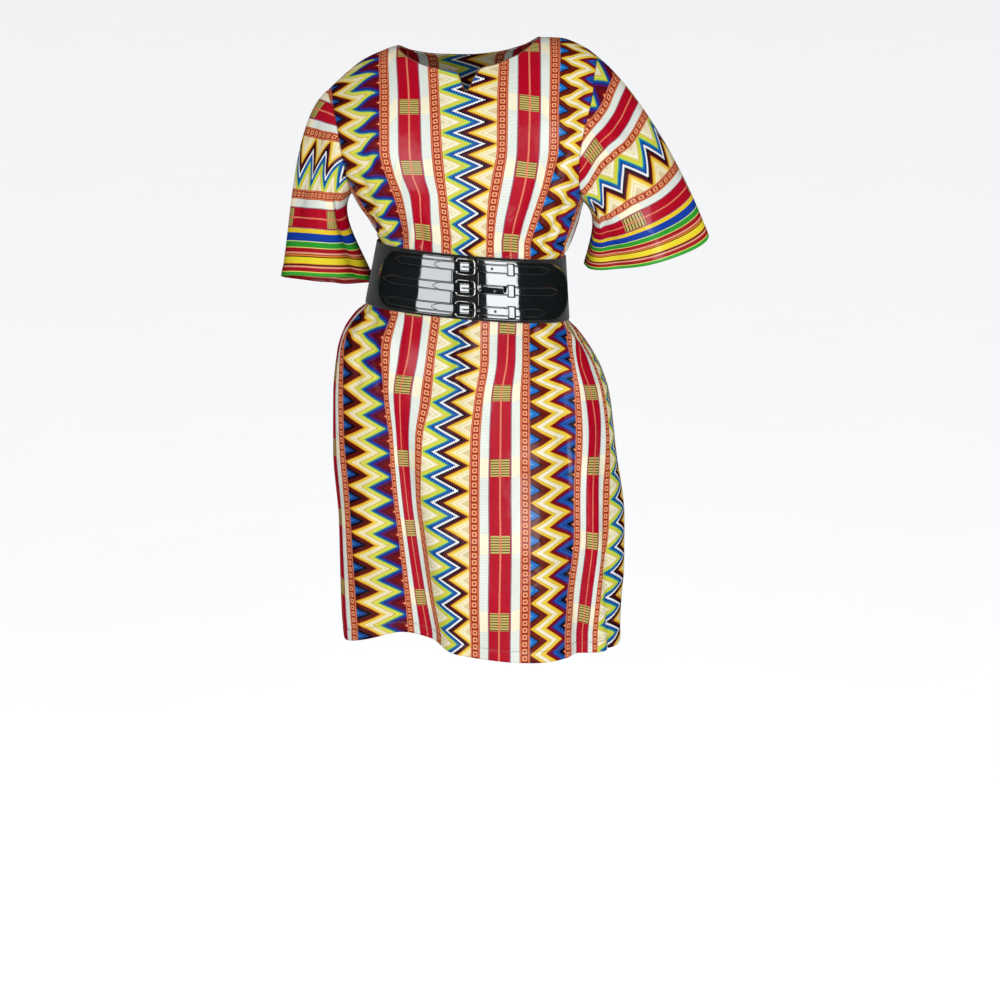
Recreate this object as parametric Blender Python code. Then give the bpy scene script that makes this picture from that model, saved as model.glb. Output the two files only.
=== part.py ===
"""Kaftan dress with a wide three-buckle waist belt, standing open in the pose it is worn in.

The origin is between the shoulder seams, +Z up, and the front faces -Y. "Left" and "right"
are the viewer's. Every cloth piece is a wall of cloth between an outer and an inner surface,
worked out from the sections, seams and folds in the tables below. Sizes are in metres.
"""
import math

import bmesh
import bpy
import numpy as np

CLOTH_WALL = 0.0020       # waxed cotton with its facing, drawn as one wall
SEAM_GAP = 0.0003         # clear space between pieces that are sewn or laid together
ARMHOLE_GAP = 0.0005      # the same round the armholes, where the pieces meet at an angle

SHOULDER_CURVE_FRONT = 0.150   # height over which the front rolls over from the shoulder seam
SHOULDER_CURVE_BACK = 0.100
YOKE_LEVEL = -0.120       # below this level the rows of the panels are level
UNDERARM_LEVEL = -0.240
SHOULDER_COLUMNS = 9
YOKE_ROWS = 6
CHEST_LEVELS = (-0.140, -0.160, -0.180, -0.200, -0.215, -0.229, UNDERARM_LEVEL)
WAIST_LEVELS = (-0.265, -0.285, -0.303)
SKIRT_ROWS = 14
SLEEVE_ROWS = 8

BELT_LEVEL = -0.367       # middle of the belt at the centre front
BELT_HALF_HEIGHT = 0.049
BELT_TILT = -0.085        # the belt sits higher on the left
BELT_TILT_REACH = (0.060, 0.190)   # full tilt within the first distance, none past the second
ELASTIC_WALL = 0.0026
PANEL_WALL = 0.0024
STRAP_WALL = 0.0020
KEEPER_WALL = 0.0018


def table(columns, *rows):
    """Rows of numbers under named columns, as a dictionary of arrays."""
    return {name: np.array([row[i] for row in rows], float)
            for i, name in enumerate(columns.split())}


# Level sections of the body. left and right are half widths, front and back half depths,
# corner is the exponent of the rounded outline: 2 is an ellipse, more is squarer.
SECTIONS = table(
    "level   left   right  front  back   corner",
    (-0.950, 0.198, 0.242, 0.136, 0.156, 2.1),
    (-0.900, 0.203, 0.243, 0.138, 0.156, 2.1),
    (-0.820, 0.205, 0.248, 0.142, 0.157, 2.1),
    (-0.750, 0.206, 0.248, 0.146, 0.158, 2.1),
    (-0.640, 0.214, 0.234, 0.146, 0.156, 2.1),
    (-0.550, 0.213, 0.223, 0.143, 0.150, 2.1),
    (-0.490, 0.206, 0.206, 0.138, 0.140, 2.1),
    (-0.455, 0.192, 0.187, 0.131, 0.128, 2.1),
    (-0.435, 0.176, 0.172, 0.125, 0.118, 2.1),
    (-0.416, 0.158, 0.156, 0.119, 0.109, 2.2),
    (-0.367, 0.1485, 0.153, 0.1175, 0.107, 2.2),
    (-0.318, 0.139, 0.150, 0.116, 0.105, 2.2),
    (-0.303, 0.143, 0.156, 0.122, 0.107, 2.2),
    (-0.285, 0.153, 0.164, 0.127, 0.109, 2.2),
    (-0.265, 0.167, 0.172, 0.130, 0.110, 2.3),
    (-0.240, 0.180, 0.180, 0.132, 0.110, 2.4),
    (-0.215, 0.194, 0.192, 0.134, 0.110, 2.5),
    (-0.170, 0.212, 0.208, 0.134, 0.110, 2.7),
    (-0.120, 0.224, 0.222, 0.128, 0.106, 2.8),
    (-0.060, 0.230, 0.230, 0.122, 0.102, 2.8),
    (0.010, 0.232, 0.232, 0.120, 0.100, 2.8))

# Height of the shoulder seam, from the left armhole to the right one.
SHOULDER = table(
    "x        level",
    (-0.216, -0.074),
    (-0.198, -0.057),
    (-0.162, -0.028),
    (-0.135, -0.015),
    (-0.108, -0.006),
    (0.000, 0.001),
    (0.111, 0.007),
    (0.142, 0.006),
    (0.182, -0.009),
    (0.200, -0.022))

# The neckline at the front, with the slit's point just left of the centre, and at the back.
NECK_FRONT = table(
    "x        level",
    (-0.108, -0.006),
    (-0.099, -0.0155),
    (-0.079, -0.0275),
    (-0.050, -0.0365),
    (-0.0155, -0.0425),
    (-0.0015, -0.0700),
    (0.0130, -0.0460),
    (0.0216, -0.0365),
    (0.0464, -0.0300),
    (0.065, -0.0220),
    (0.079, -0.0160),
    (0.094, -0.0060),
    (0.111, 0.0070))
NECK_BACK = table(
    "x        level",
    (-0.108, -0.006),
    (-0.085, -0.016),
    (-0.045, -0.022),
    (0.000, -0.023),
    (0.045, -0.019),
    (0.088, -0.007),
    (0.111, 0.007))

# Distance of the armhole seam from the centre line, on the front and the back.
ARMHOLE = table(
    "level    front_left front_right back_left back_right",
    (-0.240, 0.180, 0.180, 0.180, 0.180),
    (-0.215, 0.184, 0.172, 0.188, 0.182),
    (-0.180, 0.190, 0.171, 0.197, 0.186),
    (-0.135, 0.198, 0.178, 0.203, 0.191),
    (-0.100, 0.206, 0.188, 0.209, 0.195),
    (-0.074, 0.216, 0.194, 0.216, 0.198),
    (-0.022, 0.216, 0.200, 0.216, 0.200))

# Height of the hem across the front and the back.
HEM_FRONT = table(
    "x        level",
    (-0.198, -0.942),
    (-0.165, -0.930),
    (-0.120, -0.917),
    (-0.085, -0.919),
    (-0.045, -0.932),
    (0.020, -0.943),
    (0.120, -0.950),
    (0.242, -0.948))
HEM_BACK = table(
    "x        level",
    (-0.198, -0.942),
    (-0.080, -0.950),
    (0.060, -0.950),
    (0.242, -0.948))

# Folds. side is -1 on the front and 1 on the back, x and level give the two ends of the
# fold's line, depth is how far it goes in (minus: how far it stands out) at each end.
FOLDS = table(
    "side x_top   level_top x_end  level_end depth_top depth_end half_width",
    # skirt front: broad hollow of the left leg, the pleat that swallows the red strip
    (-1, -0.130, -0.500, -0.105, -0.960, 0.004, 0.046, 0.052),
    (-1, -0.112, -0.560, -0.052, -0.960, 0.006, 0.020, 0.015),
    (-1, -0.085, -0.600, -0.022, -0.960, -0.002, -0.008, 0.018),
    # skirt front: the right leg stands forward, pleat under the belt, folds at the right
    (-1, 0.070, -0.560, 0.090, -0.960, -0.004, -0.026, 0.075),
    (-1, -0.010, -0.418, -0.020, -0.600, 0.013, 0.004, 0.010),
    (-1, 0.106, -0.420, 0.088, -0.540, 0.008, 0.002, 0.011),
    (-1, 0.146, -0.420, 0.176, -0.960, 0.009, 0.020, 0.020),
    (-1, 0.160, -0.450, 0.212, -0.960, -0.004, -0.006, 0.024),
    (-1, -0.140, -0.420, -0.190, -0.560, 0.008, 0.003, 0.016),
    # bodice front: fold beside the left red strip, drawn in to the belt, and two at the right
    (-1, -0.122, -0.185, -0.098, -0.316, 0.004, 0.013, 0.013),
    (-1, -0.140, -0.215, -0.125, -0.314, -0.002, -0.006, 0.014),
    (-1, 0.128, -0.165, 0.076, -0.316, 0.003, 0.010, 0.012),
    (-1, 0.030, -0.240, 0.018, -0.316, 0.002, 0.006, 0.010),
    (-1, -0.045, -0.250, -0.038, -0.316, 0.002, 0.005, 0.010),
    (-1, 0.192, -0.045, 0.172, -0.130, 0.008, 0.006, 0.012),
    # back: folds that fall from the shoulder blades and from the belt
    (1, -0.110, -0.150, -0.080, -0.316, 0.004, 0.012, 0.016),
    (1, 0.120, -0.150, 0.092, -0.316, 0.004, 0.012, 0.016),
    (1, 0.005, -0.220, 0.000, -0.316, 0.002, 0.008, 0.014),
    (1, -0.100, -0.420, -0.145, -0.960, 0.008, 0.020, 0.026),
    (1, -0.034, -0.420, -0.052, -0.960, 0.009, 0.017, 0.022),
    (1, 0.040, -0.420, 0.060, -0.960, 0.008, 0.019, 0.024),
    (1, 0.108, -0.420, 0.156, -0.960, 0.009, 0.018, 0.027))
FOLD_FADE_IN = 0.050
FOLD_FADE_OUT = 0.070
HEM_REACH = -0.930        # a fold that ends below this runs out through the hem

# Small gathers held by the belt, on both panels: waves across a panel, their height at the
# centre and at the sides, and how far above and below the belt they fade.
GATHER_WAVES = 13
GATHER_CENTRE = 0.0012
GATHER_SIDES = 0.0034
GATHER_FADE = 0.055

# Sleeves: start at the armhole, end in a tilted oval cuff. The pulls are the directions in
# which the cloth leaves the armhole and reaches the cuff, at the top and at the underarm.
SLEEVES = {
    "left": {"cuff": (-0.222, 0.052, -0.374), "across": (-0.074, 0.000, 0.004),
             "forward": (0.0, -0.070, 0.012), "top_pull": (-0.170, 0.000, -0.120),
             "under_pull": (-0.085, 0.030, -0.100), "top_end": (-0.050, 0.010, -0.220),
             "under_end": (0.030, 0.030, -0.120)},
    "right": {"cuff": (0.280, 0.030, -0.326), "across": (0.098, 0.000, 0.022),
              "forward": (0.0, -0.048, -0.018), "top_pull": (0.190, 0.000, -0.150),
              "under_pull": (0.080, 0.010, -0.070), "top_end": (0.120, 0.010, -0.320),
              "under_end": (-0.020, 0.010, -0.110)},
}

# Folds of the sleeves. turn goes round from the shoulder over the front, in degrees, at the
# armhole end and the cuff end of the fold; from and to are shares of the sleeve's length.
SLEEVE_FOLDS = table(
    "sleeve turn_top turn_end from  to    depth  half_turn",
    (-1, 60, 25, 0.05, 0.85, 0.006, 16),
    (-1, 128, 118, 0.10, 1.20, 0.010, 17),
    (-1, 95, 80, 0.45, 1.20, -0.004, 20),
    (-1, 228, 250, 0.10, 1.20, 0.010, 18),
    (-1, 300, 285, 0.15, 1.20, 0.007, 20),
    (1, 100, 70, 0.02, 0.80, 0.009, 15),
    (1, 138, 120, 0.10, 1.20, 0.009, 16),
    (1, 66, 84, 0.40, 1.20, -0.005, 18),
    (1, 235, 250, 0.10, 1.20, 0.009, 18),
    (1, 300, 290, 0.15, 1.20, 0.006, 20))

# Belt fittings along the front, at three heights on the belt.
STRAP_HEIGHTS = (0.0325, 0.0, -0.0325)
STRAP_HALF_WIDTH = 0.0076
LEFT_PANEL = (-0.132, -0.0215)
RIGHT_PANEL = (0.0155, 0.150)
PANEL_HALF_HEIGHT = 0.0462
PANEL_END_LEFT = 0.024
PANEL_END_RIGHT = 0.034
LEFT_TIPS = (-0.110, -0.124, -0.118)
RIGHT_TIPS = (0.123, 0.134, 0.114)
ARROW_TIP = -0.050
STRAP_POINT = 0.010       # length of a strap's pointed end
BUCKLE_X = (-0.017, 0.011)
BUCKLE_HALF_HEIGHT = 0.0118
BUCKLE_WIRE = 0.0015      # radius
PRONG_WIRE = 0.0011       # radius
KEEPER_X = (0.0595, 0.0700)
KEEPER_MARGIN = 0.0004
PRONG_X = (-0.0085, 0.0, 0.0085, 0.0130)

# How far each layer of the belt lies outside the dress, one on top of the other.
ELASTIC_LIFT = 0.0005
PANEL_LIFT = ELASTIC_LIFT + ELASTIC_WALL + SEAM_GAP
STRAP_LIFT = PANEL_LIFT + PANEL_WALL + SEAM_GAP
LEFT_BAR_LIFT = STRAP_LIFT + SEAM_GAP + BUCKLE_WIRE
RIGHT_BAR_LIFT = STRAP_LIFT + STRAP_WALL + SEAM_GAP + BUCKLE_WIRE
OVER_BAR_LIFT = LEFT_BAR_LIFT + BUCKLE_WIRE + SEAM_GAP
PRONG_LIFT = RIGHT_BAR_LIFT + BUCKLE_WIRE + SEAM_GAP + PRONG_WIRE


# A long strap's way through its buckle, from the arrow tip on the left: over the left bar.
STRAP_ROUTE = table(
    "x        lift",
    (-0.050, STRAP_LIFT + STRAP_WALL + SEAM_GAP),
    (-0.030, STRAP_LIFT + STRAP_WALL + SEAM_GAP),
    (-0.0195, OVER_BAR_LIFT),
    (-0.0125, OVER_BAR_LIFT),
    (0.0040, STRAP_LIFT),
    (0.1400, STRAP_LIFT))


def smooth(at, places, values):
    """Values read from a table's column by a smooth curve that never overshoots its points."""
    step = np.diff(places)
    rise = np.diff(values) / step
    slope = np.empty_like(values)
    slope[0], slope[-1] = rise[0], rise[-1]
    both = rise[:-1] * rise[1:]
    slope[1:-1] = np.where(both > 0, 2 * both / (rise[:-1] + rise[1:] + (both <= 0)), 0.0)
    at = np.clip(at, places[0], places[-1])
    k = np.clip(np.searchsorted(places, at, side="right") - 1, 0, len(step) - 1)
    t = (at - places[k]) / step[k]
    return (values[k] * (1 + 2 * t) * (1 - t) ** 2 + values[k + 1] * t * t * (3 - 2 * t)
            + step[k] * t * (1 - t) * (slope[k] * (1 - t) - slope[k + 1] * t))


def ease(t):
    """0 to 1 with level ends."""
    t = np.clip(t, 0.0, 1.0)
    return t * t * (3 - 2 * t)


def unit(vectors):
    return vectors / np.maximum(np.linalg.norm(vectors, axis=-1, keepdims=True), 1e-12)


def half_width(angle, level):
    left = smooth(level, SECTIONS["level"], SECTIONS["left"])
    right = smooth(level, SECTIONS["level"], SECTIONS["right"])
    return np.where(angle < 0, left, right)


def section_angle(x, level):
    """The angle at which a level section is this far from the centre line."""
    corner = smooth(level, SECTIONS["level"], SECTIONS["corner"])
    share = np.clip(np.abs(x) / half_width(x, level), 0.0, 1.0)
    rest = np.maximum(1 - share ** corner, 0.0) ** (1 / corner)
    return np.sign(x) * np.arctan2(share, rest)


def edge_angle(side, sign, level):
    """The angle of a panel's edge: the armhole above the underarm, the side seam below."""
    column = ("front_" if side < 0 else "back_") + ("left" if sign < 0 else "right")
    seam = smooth(level, ARMHOLE["level"], ARMHOLE[column])
    above = np.abs(section_angle(sign * seam, level))
    return np.where(level <= UNDERARM_LEVEL, math.pi / 2, above)


def column_angle(share, edge):
    """Angle of a panel's column. Near the edge it gives way to the armhole, inside hardly."""
    return share * math.pi / 2 - (math.pi / 2 - edge) * share * np.abs(share)


def column_share(angle, edge):
    """The share of a column that has this angle where the panel's edge has that angle."""
    pull = np.maximum(math.pi / 2 - edge, 1e-9)
    root = np.sqrt(math.pi ** 2 / 4 - 4 * pull * np.abs(angle))
    return np.sign(angle) * (math.pi / 2 - root) / (2 * pull)


def smooth_section(side, angle, level):
    """The body without folds: a rounded section, drawn in to the shoulder seam at the top."""
    corner = smooth(level, SECTIONS["level"], SECTIONS["corner"])
    round_off = (np.abs(np.sin(angle)) ** corner + np.abs(np.cos(angle)) ** corner) ** (-1 / corner)
    x = half_width(angle, level) * np.sin(angle) * round_off
    deep = smooth(level, SECTIONS["level"], SECTIONS["front" if side < 0 else "back"])
    curve = SHOULDER_CURVE_FRONT if side < 0 else SHOULDER_CURVE_BACK
    down = np.clip((smooth(x, SHOULDER["x"], SHOULDER["level"]) - level) / curve, 0.0, 1.0)
    y = side * deep * np.cos(angle) * round_off * np.sqrt(1 - (1 - down) ** 2)
    return x, y, deep


def fold_depth(side, angle, level, reach):
    """How far the folds move the cloth in, from the table of folds and the belt's gathers."""
    total = np.zeros(np.broadcast(angle, level).shape)
    for i in np.flatnonzero(FOLDS["side"] == side):
        fold = {name: column[i] for name, column in FOLDS.items()}
        along = np.clip((fold["level_top"] - level) / (fold["level_top"] - fold["level_end"]), 0, 1)
        centre = section_angle(fold["x_top"] + along * (fold["x_end"] - fold["x_top"]), level)
        away = (angle - centre) * reach / fold["half_width"]
        depth = fold["depth_top"] + along * (fold["depth_end"] - fold["depth_top"])
        shown = ease((fold["level_top"] - level) / FOLD_FADE_IN + 0.5)
        if fold["level_end"] > HEM_REACH:
            shown = shown * ease((level - fold["level_end"]) / FOLD_FADE_OUT + 0.5)
        total += depth * shown * np.exp(-away ** 2)
    share = angle / (math.pi / 2)
    wave = np.cos(math.pi * GATHER_WAVES * (share + 0.05 * np.sin(7.3 * share + side)))
    height = GATHER_CENTRE + (GATHER_SIDES - GATHER_CENTRE) * share ** 2
    from_belt = np.maximum(np.abs(level - BELT_LEVEL) - BELT_HALF_HEIGHT, 0.0)
    total += height * wave * np.exp(-(from_belt / GATHER_FADE) ** 2)
    flat = ease((np.abs(level - BELT_LEVEL) - BELT_HALF_HEIGHT) / 0.015)
    seam = ease((math.pi / 2 - np.abs(angle)) / 0.12)
    return total * flat * seam


def tilt(x, level):
    """The level after the belt's slope is added, near the belt only."""
    near, far = BELT_TILT_REACH
    share = 1 - ease((np.abs(level - BELT_LEVEL) - near) / (far - near))
    return level + BELT_TILT * x * share


def body_point(side, angle, level, folded=True, lift=0.0):
    """A point of the body's outer surface. angle runs from the left seam to the right one."""
    x, y, deep = smooth_section(side, angle, level)
    wide = half_width(angle, level)
    out = unit(np.stack([x / wide ** 2, y / deep ** 2], -1))
    depth = fold_depth(side, angle, level, np.hypot(x, y)) if folded else 0.0
    move = (lift - depth)[..., None] if folded else np.asarray(lift)[..., None]
    shifted = np.stack([x, y], -1) + out * move
    return np.stack([shifted[..., 0], shifted[..., 1], tilt(shifted[..., 0], level)], -1)


def panel_levels(top, hem):
    """Levels of a panel's rows, one column of levels for each column of the panel."""
    count = np.arange(YOKE_ROWS + 1) / YOKE_ROWS
    yoke = top + (YOKE_LEVEL - top) * (1 - np.cos(count * math.pi / 2))[:, None]
    belt = (BELT_LEVEL + BELT_HALF_HEIGHT, BELT_LEVEL, BELT_LEVEL - BELT_HALF_HEIGHT)
    middle = np.array(CHEST_LEVELS + WAIST_LEVELS + belt)[:, None] + 0 * top
    share = (np.arange(1, SKIRT_ROWS + 1) / SKIRT_ROWS)[:, None] ** 1.15
    return np.concatenate([yoke, middle, belt[-1] + (hem - belt[-1]) * share])


UNDERARM_ROW = YOKE_ROWS + len(CHEST_LEVELS)
BELT_ROWS = slice(UNDERARM_ROW + len(WAIST_LEVELS) + 1, UNDERARM_ROW + len(WAIST_LEVELS) + 4)


def panel_columns(neck, neck_columns):
    """Places of a panel's columns along its top edge: shoulder, neckline, shoulder."""
    left, right = SHOULDER["x"][0], SHOULDER["x"][-1]
    neck_left, neck_right = neck["x"][0], neck["x"][-1]
    x = np.concatenate([np.linspace(left, neck_left, SHOULDER_COLUMNS + 1)[:-1], neck_columns,
                        np.linspace(neck_right, right, SHOULDER_COLUMNS + 1)[1:]])
    on_neck = (x >= neck_left) & (x <= neck_right)
    top = np.where(on_neck, smooth(x, neck["x"], neck["level"]),
                   smooth(x, SHOULDER["x"], SHOULDER["level"]))
    return x, top


def panel_grid(side, neck, hem, neck_columns):
    """The grid of a panel: angles and levels for every row and column."""
    x, top = panel_columns(neck, neck_columns)
    edge = np.where(x < 0, edge_angle(side, -1, top), edge_angle(side, 1, top))
    share = column_share(section_angle(x, top), edge)
    share[0], share[-1] = -1.0, 1.0
    at_hem = half_width(x, HEM_REACH) * np.sin(share * math.pi / 2)
    levels = panel_levels(top, smooth(at_hem, hem["x"], hem["level"]))
    edges = np.where(share < 0, edge_angle(side, -1, levels), edge_angle(side, 1, levels))
    return column_angle(share, edges), levels


def armhole_ring(front, back, column):
    """The closed armhole: down the front panel's edge, up the back panel's."""
    down = front[:UNDERARM_ROW + 1, column]
    up = back[UNDERARM_ROW - 1:0:-1, column]
    return np.concatenate([down, up])


def ring_turn(ring):
    """Angle of each ring point: 0 at the shoulder, half a turn at the underarm, by length."""
    step = np.linalg.norm(np.roll(ring, -1, axis=0) - ring, axis=1)
    along = np.concatenate([[0.0], np.cumsum(step)])
    half = along[UNDERARM_ROW]
    front = along[:UNDERARM_ROW + 1] / half * math.pi
    back = math.pi + (along[UNDERARM_ROW + 1:-1] - half) / (along[-1] - half) * math.pi
    return np.concatenate([front, back])


def sleeve_grid(ring, cut):
    """Rings from the armhole to the cuff, each point on a curve with a pull at both ends."""
    turn = ring_turn(ring)[None, :, None]
    top = (1 + np.cos(turn)) / 2
    cut = {name: np.array(value) for name, value in cut.items()}
    cuff = cut["cuff"] + cut["across"] * np.cos(turn) + cut["forward"] * np.sin(turn)
    leave = cut["top_pull"] * top + cut["under_pull"] * (1 - top)
    reach = cut["top_end"] * top + cut["under_end"] * (1 - top)
    s = (np.arange(SLEEVE_ROWS + 1) / SLEEVE_ROWS)[:, None, None]
    return (ring[None] * (1 + 2 * s) * (1 - s) ** 2 + cuff * s * s * (3 - 2 * s)
            + leave * s * (1 - s) ** 2 - reach * s * s * (1 - s))


def fold_sleeve(grid, normals, sleeve, turn):
    """The sleeve's cloth moved in along its folds, which start clear of the armhole."""
    s = (np.arange(SLEEVE_ROWS + 1) / SLEEVE_ROWS)[:, None]
    total = np.zeros(grid.shape[:2])
    for i in np.flatnonzero(SLEEVE_FOLDS["sleeve"] == sleeve):
        fold = {name: column[i] for name, column in SLEEVE_FOLDS.items()}
        centre = np.radians(fold["turn_top"] + (fold["turn_end"] - fold["turn_top"]) * s)
        away = (turn - centre) / math.radians(fold["half_turn"])
        shown = ease((s - fold["from"]) / 0.25) * ease((fold["to"] - s) / 0.25)
        total += fold["depth"] * shown * np.exp(-away ** 2)
    return grid - normals * total[..., None]


def grid_normals(grid, around):
    """Outward normals of a grid whose rows run down and whose columns run left to right."""
    down = np.gradient(grid, axis=0)
    if around:
        across = (np.roll(grid, -1, axis=1) - np.roll(grid, 1, axis=1)) / 2
    else:
        across = np.gradient(grid, axis=1)
    return unit(np.cross(down, across))


def share_normals(first, first_index, second, second_index):
    """Two pieces that meet at a seam get one normal there, so that their edges match."""
    middle = unit(first[first_index] + second[second_index])
    first[first_index] = middle
    second[second_index] = middle


def seam_step(grid, normals, edge, next_to, distance):
    """A short way from a seam towards the piece's next row or column, square to its wall."""
    way = grid[next_to] - grid[edge]
    normal = normals[edge]
    return unit(way - normal * np.sum(way * normal, axis=-1, keepdims=True)) * distance


def make_object(name, vertices, faces, material, collection):
    mesh = bpy.data.meshes.new(name)
    mesh.from_pydata([tuple(v) for v in vertices], [], [tuple(f) for f in faces])
    shell = bmesh.new()
    shell.from_mesh(mesh)
    bmesh.ops.recalc_face_normals(shell, faces=shell.faces)
    shell.to_mesh(mesh)
    shell.free()
    mesh.shade_smooth()
    mesh.set_sharp_from_angle(angle=math.radians(50))
    mesh.materials.append(material)
    piece = bpy.data.objects.new(name, mesh)
    collection.objects.link(piece)
    return piece


def wall(name, outer, inner, around, material, collection):
    """A closed wall between two grids of the same shape, with rims along its open edges."""
    rows, columns = outer.shape[:2]
    index = np.arange(rows * columns).reshape(rows, columns)
    if around:
        index = np.concatenate([index, index[:, :1]], axis=1)
    back = index + rows * columns

    def strip(a, b):
        return np.stack([a[:-1], a[1:], b[1:], b[:-1]], -1)

    def sheet(i):
        return np.stack([i[:-1, :-1], i[1:, :-1], i[1:, 1:], i[:-1, 1:]], -1).reshape(-1, 4)

    faces = [sheet(index), sheet(back)[:, ::-1], strip(index[0], back[0]),
             strip(back[-1], index[-1])]
    if not around:
        faces += [strip(back[:, 0], index[:, 0]), strip(index[:, -1], back[:, -1])]
    vertices = np.concatenate([outer.reshape(-1, 3), inner.reshape(-1, 3)])
    return make_object(name, vertices, np.concatenate(faces), material, collection)


def cloth_piece(name, outer, normals, trims, around, material, collection):
    """A cloth wall from its outer grid. trims lists the edges that stand back from a seam."""
    outer = outer.copy()
    for edge, next_to, distance in trims:
        outer[edge] += seam_step(outer, normals, edge, next_to, distance)
    inner = outer - normals * CLOTH_WALL
    return wall(name, outer, inner, around, material, collection)


def share_shoulders(front, back, columns):
    """One normal for both panels along the shoulder seams."""
    for seam in (slice(0, columns + 1), slice(-columns - 1, None)):
        share_normals(front, (0, seam), back, (0, seam))


def share_armhole(front, back, sleeve, column):
    """One normal for the panels and the sleeve round an armhole."""
    last = UNDERARM_ROW
    middle = unit(armhole_ring(front, back, column) + sleeve[0])
    for row, place in ((0, 0), (last, last)):
        middle[place] = unit(unit(front[row, column] + back[row, column]) + sleeve[0, place])
    sleeve[0] = middle
    front[:last + 1, column] = middle[:last + 1]
    back[last - 1:0:-1, column] = middle[last + 1:]
    back[0, column], back[last, column] = middle[0], middle[last]


def build_dress(material, collection):
    """Front, back and both sleeves. Pieces that meet share the seam's points and normals."""
    front_neck = np.concatenate([np.linspace(-0.108, -0.0155, 8), [-0.0085, -0.0015, 0.0055],
                                 np.linspace(0.0130, 0.111, 9)])
    back_neck = np.linspace(-0.108, 0.111, 15)
    front_rows = panel_grid(-1, NECK_FRONT, HEM_FRONT, front_neck)
    back_rows = panel_grid(1, NECK_BACK, HEM_BACK, back_neck)
    front, back = body_point(-1, *front_rows), body_point(1, *back_rows)
    front_normals = grid_normals(front, False)
    back_normals = -grid_normals(back, False)
    below = slice(UNDERARM_ROW, None)
    for column in (0, -1):
        share_normals(front_normals, (below, column), back_normals, (below, column))
    share_shoulders(front_normals, back_normals, SHOULDER_COLUMNS)

    sleeves = []
    for name, column, turned in (("left", 0, 1), ("right", -1, -1)):
        ring = armhole_ring(front, back, column)
        grid = sleeve_grid(ring, SLEEVES[name])
        grid = fold_sleeve(grid, turned * grid_normals(grid, True), -turned, ring_turn(ring))
        normals = turned * grid_normals(grid, True)
        share_armhole(front_normals, back_normals, normals, column)
        sleeves.append((f"sleeve_{name}", grid, normals))

    half_gap = SEAM_GAP / 2
    trims = [((below, 0), (below, 1), half_gap), ((below, -1), (below, -2), half_gap),
             ((0,), (1,), half_gap)]
    cloth_piece("body_front", front, front_normals, trims, False, material, collection)
    cloth_piece("body_back", back, back_normals, trims, False, material, collection)
    for name, grid, normals in sleeves:
        trims = [((0,), (1,), ARMHOLE_GAP)]
        cloth_piece(name, grid, normals, trims, True, material, collection)
    return front_rows[0][BELT_ROWS.start], back_rows[0][BELT_ROWS.start]


def belt_point(angle, height, lift, side=-1):
    """A point this far outside the waist, straight from the belt's lower to its upper edge."""
    low = body_point(side, angle, BELT_LEVEL - BELT_HALF_HEIGHT + 0 * angle, False, lift)
    high = body_point(side, angle, BELT_LEVEL + BELT_HALF_HEIGHT + 0 * angle, False, lift)
    share = (np.asarray(height) / BELT_HALF_HEIGHT + 1)[..., None] / 2
    return low + (high - low) * share


def belt_bar(name, x, section, material, collection):
    """A bar along the front of the belt: at each place x a closed section of height and lift."""
    angle = section_angle(x, BELT_LEVEL + 0 * x)[:, None] + 0 * section[..., 0]
    points = belt_point(angle, section[..., 0], section[..., 1])
    count = section.shape[1]
    index = np.arange(points.shape[0] * count).reshape(-1, count)
    ring = np.concatenate([index, index[:, :1]], axis=1)
    sides = np.stack([ring[:-1, :-1], ring[1:, :-1], ring[1:, 1:], ring[:-1, 1:]], -1)
    faces = [tuple(f) for f in sides.reshape(-1, 4)] + [tuple(index[0]), tuple(index[-1])]
    return make_object(name, points.reshape(-1, 3), faces, material, collection)


def flat_section(centre, half, lift, thickness):
    """Section of a strap or panel: flat below, with its two upper edges cut off."""
    edge = np.minimum(0.0009, half * 0.4)
    height = np.stack([-half, -half, edge - half, half - edge, half, half], -1)
    raised = np.array([0.0, 0.6, 1.0, 1.0, 0.6, 0.0]) * thickness
    return np.stack([height + np.asarray(centre)[..., None],
                     np.asarray(lift)[..., None] + raised + 0 * height], -1)


def pointed(x, tip, length, half):
    """Half width of a strap that narrows to a blunt point at its tip."""
    share = np.clip(np.abs(x - tip) / length, 0.0, 1.0)
    return half * (0.22 + 0.78 * share)


def rounded_end(x, tip, length, half):
    """Half height of a panel whose end is rounded."""
    share = np.clip(1 - np.abs(x - tip) / length, 0.0, 1.0)
    return half * np.maximum((1 - share ** 2.4), 0.05) ** (1 / 2.4)


def end_stations(start, end, length, count, spacing):
    """Places along a strap or panel, closer together over its shaped end, which is start."""
    way = 1 if end > start else -1
    shaped = start + way * length * (1 - np.cos(np.linspace(0, math.pi / 2, count)))
    steps = max(int(math.ceil(abs(end - shaped[-1]) / spacing)), 1)
    return np.concatenate([shaped, np.linspace(shaped[-1], end, steps + 1)[1:]])


def build_elastic(front_angles, back_angles, material, collection):
    """A closed band that follows the panels' own points, moved out."""
    angle = np.concatenate([front_angles, back_angles[-2:0:-1]])
    side = np.concatenate([np.full(len(front_angles), -1), np.full(len(back_angles) - 2, 1)])
    grids = []
    for lift in (ELASTIC_LIFT, ELASTIC_LIFT + ELASTIC_WALL):
        rows = []
        for height in (BELT_HALF_HEIGHT, 0.0, -BELT_HALF_HEIGHT):
            front = belt_point(angle, height + 0 * angle, lift)
            back = belt_point(angle, height + 0 * angle, lift, side=1)
            rows.append(np.where(side[:, None] < 0, front, back))
        grids.append(np.array(rows))
    wall("belt_elastic", grids[1], grids[0], True, material, collection)


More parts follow.
